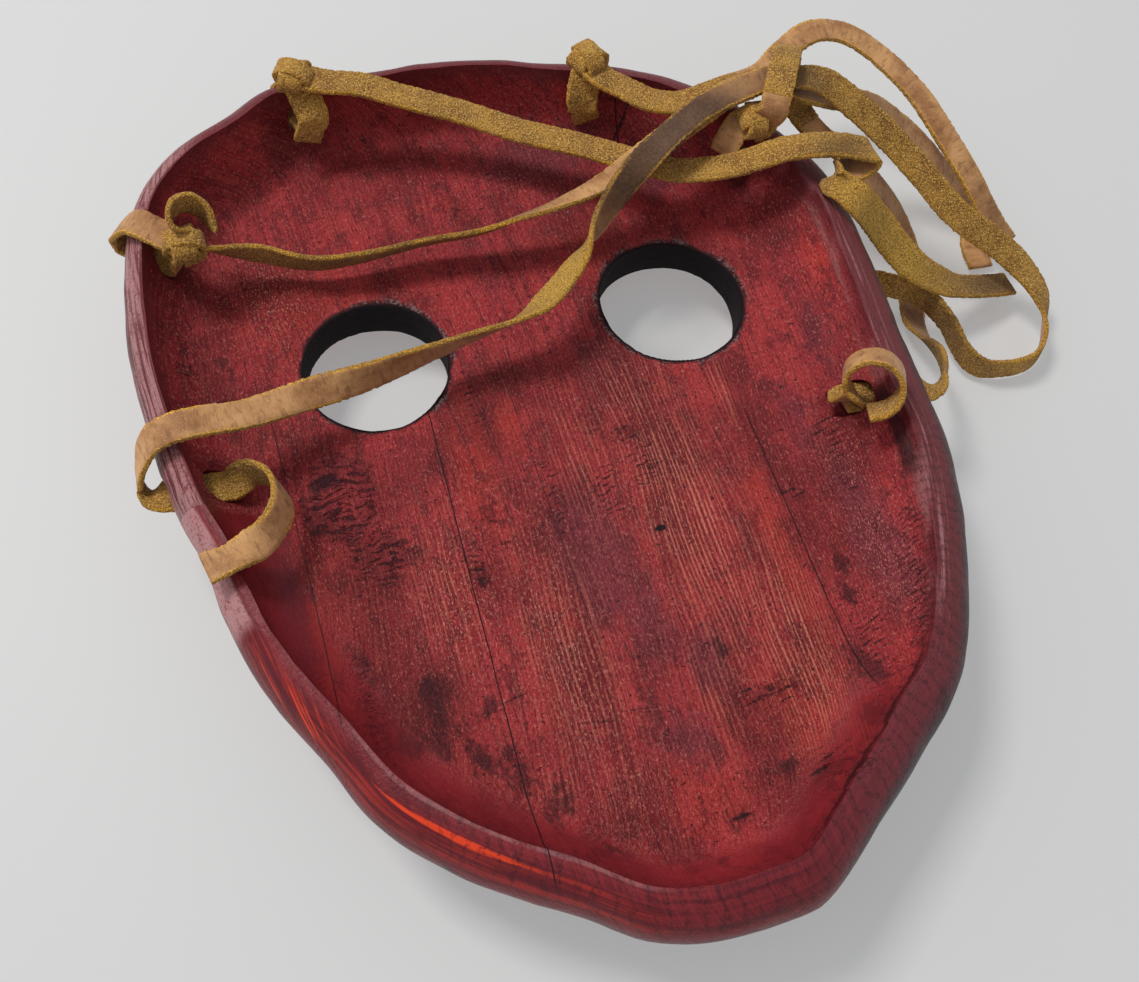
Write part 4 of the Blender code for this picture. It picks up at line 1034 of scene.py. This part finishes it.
def knot_parts(middle, direction, seed):
    """A pulled tight knot: a rounded heart with two turns of strap wound over it."""
    parts = [heart_parts(middle, seed, (0.78 * KNOT_WIDE, 0.78 * KNOT_WIDE, 0.8 * KNOT_TALL))]
    centre = Vector(middle)
    for lean, reach, width in ((-38, 0.80, 8.2), (42, 0.92, 6.6)):
        turn = math.radians(direction + lean)
        side = Vector((math.cos(turn), math.sin(turn), 0))
        line = Vector((-math.sin(turn), math.cos(turn), 0))
        points = []
        for step in range(13):
            way = math.radians(-110 + 33 * step)
            rise = Vector((0, 0, KNOT_TALL * reach * math.sin(way)))
            out = side * math.cos(way) * KNOT_WIDE * reach + rise
            face = side * math.cos(way) / KNOT_WIDE + Vector((0, 0, math.sin(way) / KNOT_TALL))
            points.append((*(centre + out + line * (0.35 * step - 2.1)), *face.normalized()))
        parts.append(ribbon_parts(points, seed + lean, False, wide=width))
    return parts


def leather_object(name, parts, material, darks=(), golds=()):
    rows, faces, values = [], [], []
    for part in parts:
        faces += [tuple(len(rows) + corner for corner in face) for face in part[1]]
        rows += list(part[0])
        values += part[2]
    made = new_object(name, rows, faces, material)
    values = np.array(values)
    for column, label in enumerate(("along", "across", "grain")):
        set_value(made.data, label, values[:, column])
    points = own_points(made.data)
    set_value(made.data, "dark", np.minimum(zone(points, darks), 1))
    set_value(made.data, "gold", np.minimum(zone(points, golds), 1))
    made.data.shade_smooth()
    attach(made, "root")
    return made


def make_thong(name, node, material, main_run, extras=(), knots=(), seed=0.0, grain_up=False,
               darks=(), golds=(), flips=()):
    main = ribbon_parts(main_run, seed, grain_up, flips, wider=golds)
    thong = leather_object(name, [main], material, darks, golds)
    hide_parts(node)
    more = [ribbon_parts(points, seed + 1 + number, grain_up) for number, points in enumerate(extras)]
    for number, (middle, direction) in enumerate(knots):
        more += knot_parts(middle, direction, seed + number)
    pieces = [leather_object(f"{name}_knot", more, material, darks, golds)] if more else []
    path = (main[3] + (SHIFT[0], SHIFT[1], 0)) * MM
    main[4] * MM


def tied(name, node, material, direction, knot, run, tail, knot_inside, **more):
    start = (*knot, 0, 0, 1)
    inward = (-math.cos(math.radians(direction)), -math.sin(math.radians(direction)))
    over = rim_wrap(direction)[0 if knot_inside else 1:]
    wrap = [start, *over, (knot[0], knot[1], knot[2] - 1, *inward, 0.3)]
    main = [*wrap[::-1][:-1], start, *run]
    make_thong(name, node, material, main, extras=([start, *tail],), knots=((knot, direction),), **more)


def make_thongs(leather):
    """All five thongs. Dark stretches, partly darker leather and partly painted shade, golden stretches and
    changes of side are spots as on the mask.
    """
    crest_knots = []
    for direction in (HOLE_TOP_LEFT, HOLE_TOP_RIGHT):
        crest, crest_z = section_at(direction)[1:3]
        crest_knots.append((*place(direction, crest), crest_z + KNOT_LIFT))
    tied("thong_a", "thong_left_upper", leather, HOLE_LEFT_UPPER, KNOT_LEFT_UPPER, LEFT_UPPER_RUN,
         LEFT_UPPER_TAIL, True, seed=1.0, grain_up=True,
         darks=((-30, 87, 52, 14, 0.45), (118, 102, 18, 8, 0.8), (150, 98, 26, 16, 0.5)))
    tied("thong_c", "thong_top_left", leather, HOLE_TOP_LEFT, crest_knots[0], TOP_LEFT_RUN, TOP_LEFT_TAIL,
         False, seed=2.0, darks=((121, 70, 9, 7, 0.7), (186, 32, 20, 8, 0.75)),
         golds=((138, 45, 28, 18, 1.3),))
    tied("thong_d", "thong_top_right", leather, HOLE_TOP_RIGHT, crest_knots[1], TOP_RIGHT_RUN,
         TOP_RIGHT_TAIL, False, seed=3.0, flips=((165, 90, 66, 60, 1),), darks=((196, 50, 14, 14, 0.4),))
    lower = [*LEFT_LOWER_TAIL, *through_hole(HOLE_LEFT_LOWER), *LEFT_LOWER_LOOP, *LEFT_LOWER_RUN]
    make_thong("thong_b", "thong_left_lower", leather, lower, seed=4.0, grain_up=True,
               flips=((170, 60, 72, 72, 1),), golds=((16, 53, 20, 14, 1.4), (-92, -5, 14, 26, 0.4)),
               darks=((62, 87, 36, 20, 1.7), (112, 101, 14, 8, 0.9), (-20, 42, 30, 8, 0.35),
                      (165, 20, 14, 16, 0.7), (-93, 12, 12, 12, 0.35)))
    right = [*curl_points(), *through_hole(HOLE_RIGHT_LOWER), *RIGHT_LOWER_RUN,
             (*KNOT_GATHER, -0.5, -0.8, 0)]
    make_thong("thong_e", "thong_right", leather, right, extras=([(*KNOT_GATHER, 0, 0, 1), *GATHER_TAIL],),
               knots=((KNOT_GATHER, HOLE_RIGHT_UPPER),), seed=5.0, grain_up=True,
               flips=((112, 104, 13, 18, 1),), darks=((155, 40, 24, 50, 0.6), (98, -12, 4, 4, 0.3)))


# The table in metres, and the camera: photo width and focal length in pixels, sensor in millimetres, and
# its place in the mask's own frame, also in millimetres
TABLE_HALF, TABLE_GAP = 3.0, 0.0003
PHOTO_WIDTH, FOCAL_PIXELS, SENSOR_MM = 1139.0, 1120.0, 36.0
CAMERA_AT = (-70.74, -134.91, 357.11)
CAMERA_RIGHT, CAMERA_UP = (0.9470, -0.3085, 0.0897), (0.2519, 0.8864, 0.3885)


def add_light(name, energy, place_at, size, colour=(1, 1, 1)):
    """Square soft light that faces the middle of the table."""
    data = bpy.data.lights.new(name, "AREA")
    data.energy = energy
    data.color = colour
    data.shape = "RECTANGLE"
    data.size = data.size_y = size
    light = bpy.data.objects.new(name, data)
    bpy.context.scene.collection.objects.link(light)
    light.location = place_at
    light.rotation_euler = (-Vector(place_at)).to_track_quat("-Z", "Y").to_euler()
    return light


def make_stage():
    mesh = bpy.data.meshes.new("table")
    corners = [(TABLE_HALF * x, TABLE_HALF * y, 0) for x, y in ((-1, -1), (1, -1), (1, 1), (-1, 1))]
    mesh.from_pydata(corners, [], [(0, 1, 2, 3)])
    table = bpy.data.objects.new("table", mesh)
    table.location = (0, 0, -TABLE_GAP)
    bpy.context.scene.collection.objects.link(table)
    paper = plain_material("white_table", TABLE_WHITE, 0.5)
    shader = paper.node_tree.nodes["Principled BSDF"]
    # The table glows faintly: painted light that lightens the shadows on the table and under the mask
    shader.inputs["Emission Color"].default_value = (1.0, 1.0, 0.995, 1.0)
    shader.inputs["Emission Strength"].default_value = 0.26
    shader.inputs["Specular IOR Level"].default_value = 0.2
    mesh.materials.append(paper)
    world = bpy.data.worlds.new("room")
    bpy.context.scene.world = world
    world.use_nodes = True
    sky = world.node_tree.nodes["Background"]
    sky.inputs["Color"].default_value = (0.93, 0.96, 1.0, 1.0)
    sky.inputs["Strength"].default_value = 0.40
    add_light("window", 17.0, (-0.6, 0.75, 1.55), 0.42, (1.0, 0.985, 0.96))
    side = add_light("side_window", 3.0, (-1.3, 0.5, 1.1), 1.1)
    side.visible_glossy = False


def make_camera():
    data = bpy.data.cameras.new("camera")
    data.sensor_fit = "HORIZONTAL"
    data.sensor_width = SENSOR_MM
    data.lens = FOCAL_PIXELS / PHOTO_WIDTH * SENSOR_MM
    data.clip_start, data.clip_end = 0.01, 20.0
    camera = bpy.data.objects.new("camera", data)
    right, up = Vector(CAMERA_RIGHT), Vector(CAMERA_UP)
    back = right.cross(up).normalized()
    up = back.cross(right).normalized()
    right.normalize()
    columns = Matrix((right, up, back)).transposed().to_4x4()
    stand = Vector(CAMERA_AT) + Vector((SHIFT[0], SHIFT[1], 0))
    camera.matrix_world = Matrix.Translation(stand * MM) @ columns
    bpy.context.scene.collection.objects.link(camera)
    bpy.context.scene.camera = camera


def main():
    for old in list(bpy.data.objects):
        bpy.data.objects.remove(old, do_unlink=True)
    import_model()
    bpy.context.scene.view_settings.view_transform = "Standard"
    wood = wood_material()
    leather = leather_material()
    mask = make_mask(wood)
    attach(mask, "root")
    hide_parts("mask_body")
    make_thongs(leather)
    make_stage()
    make_camera()
    bpy.context.view_layer.update()


main()
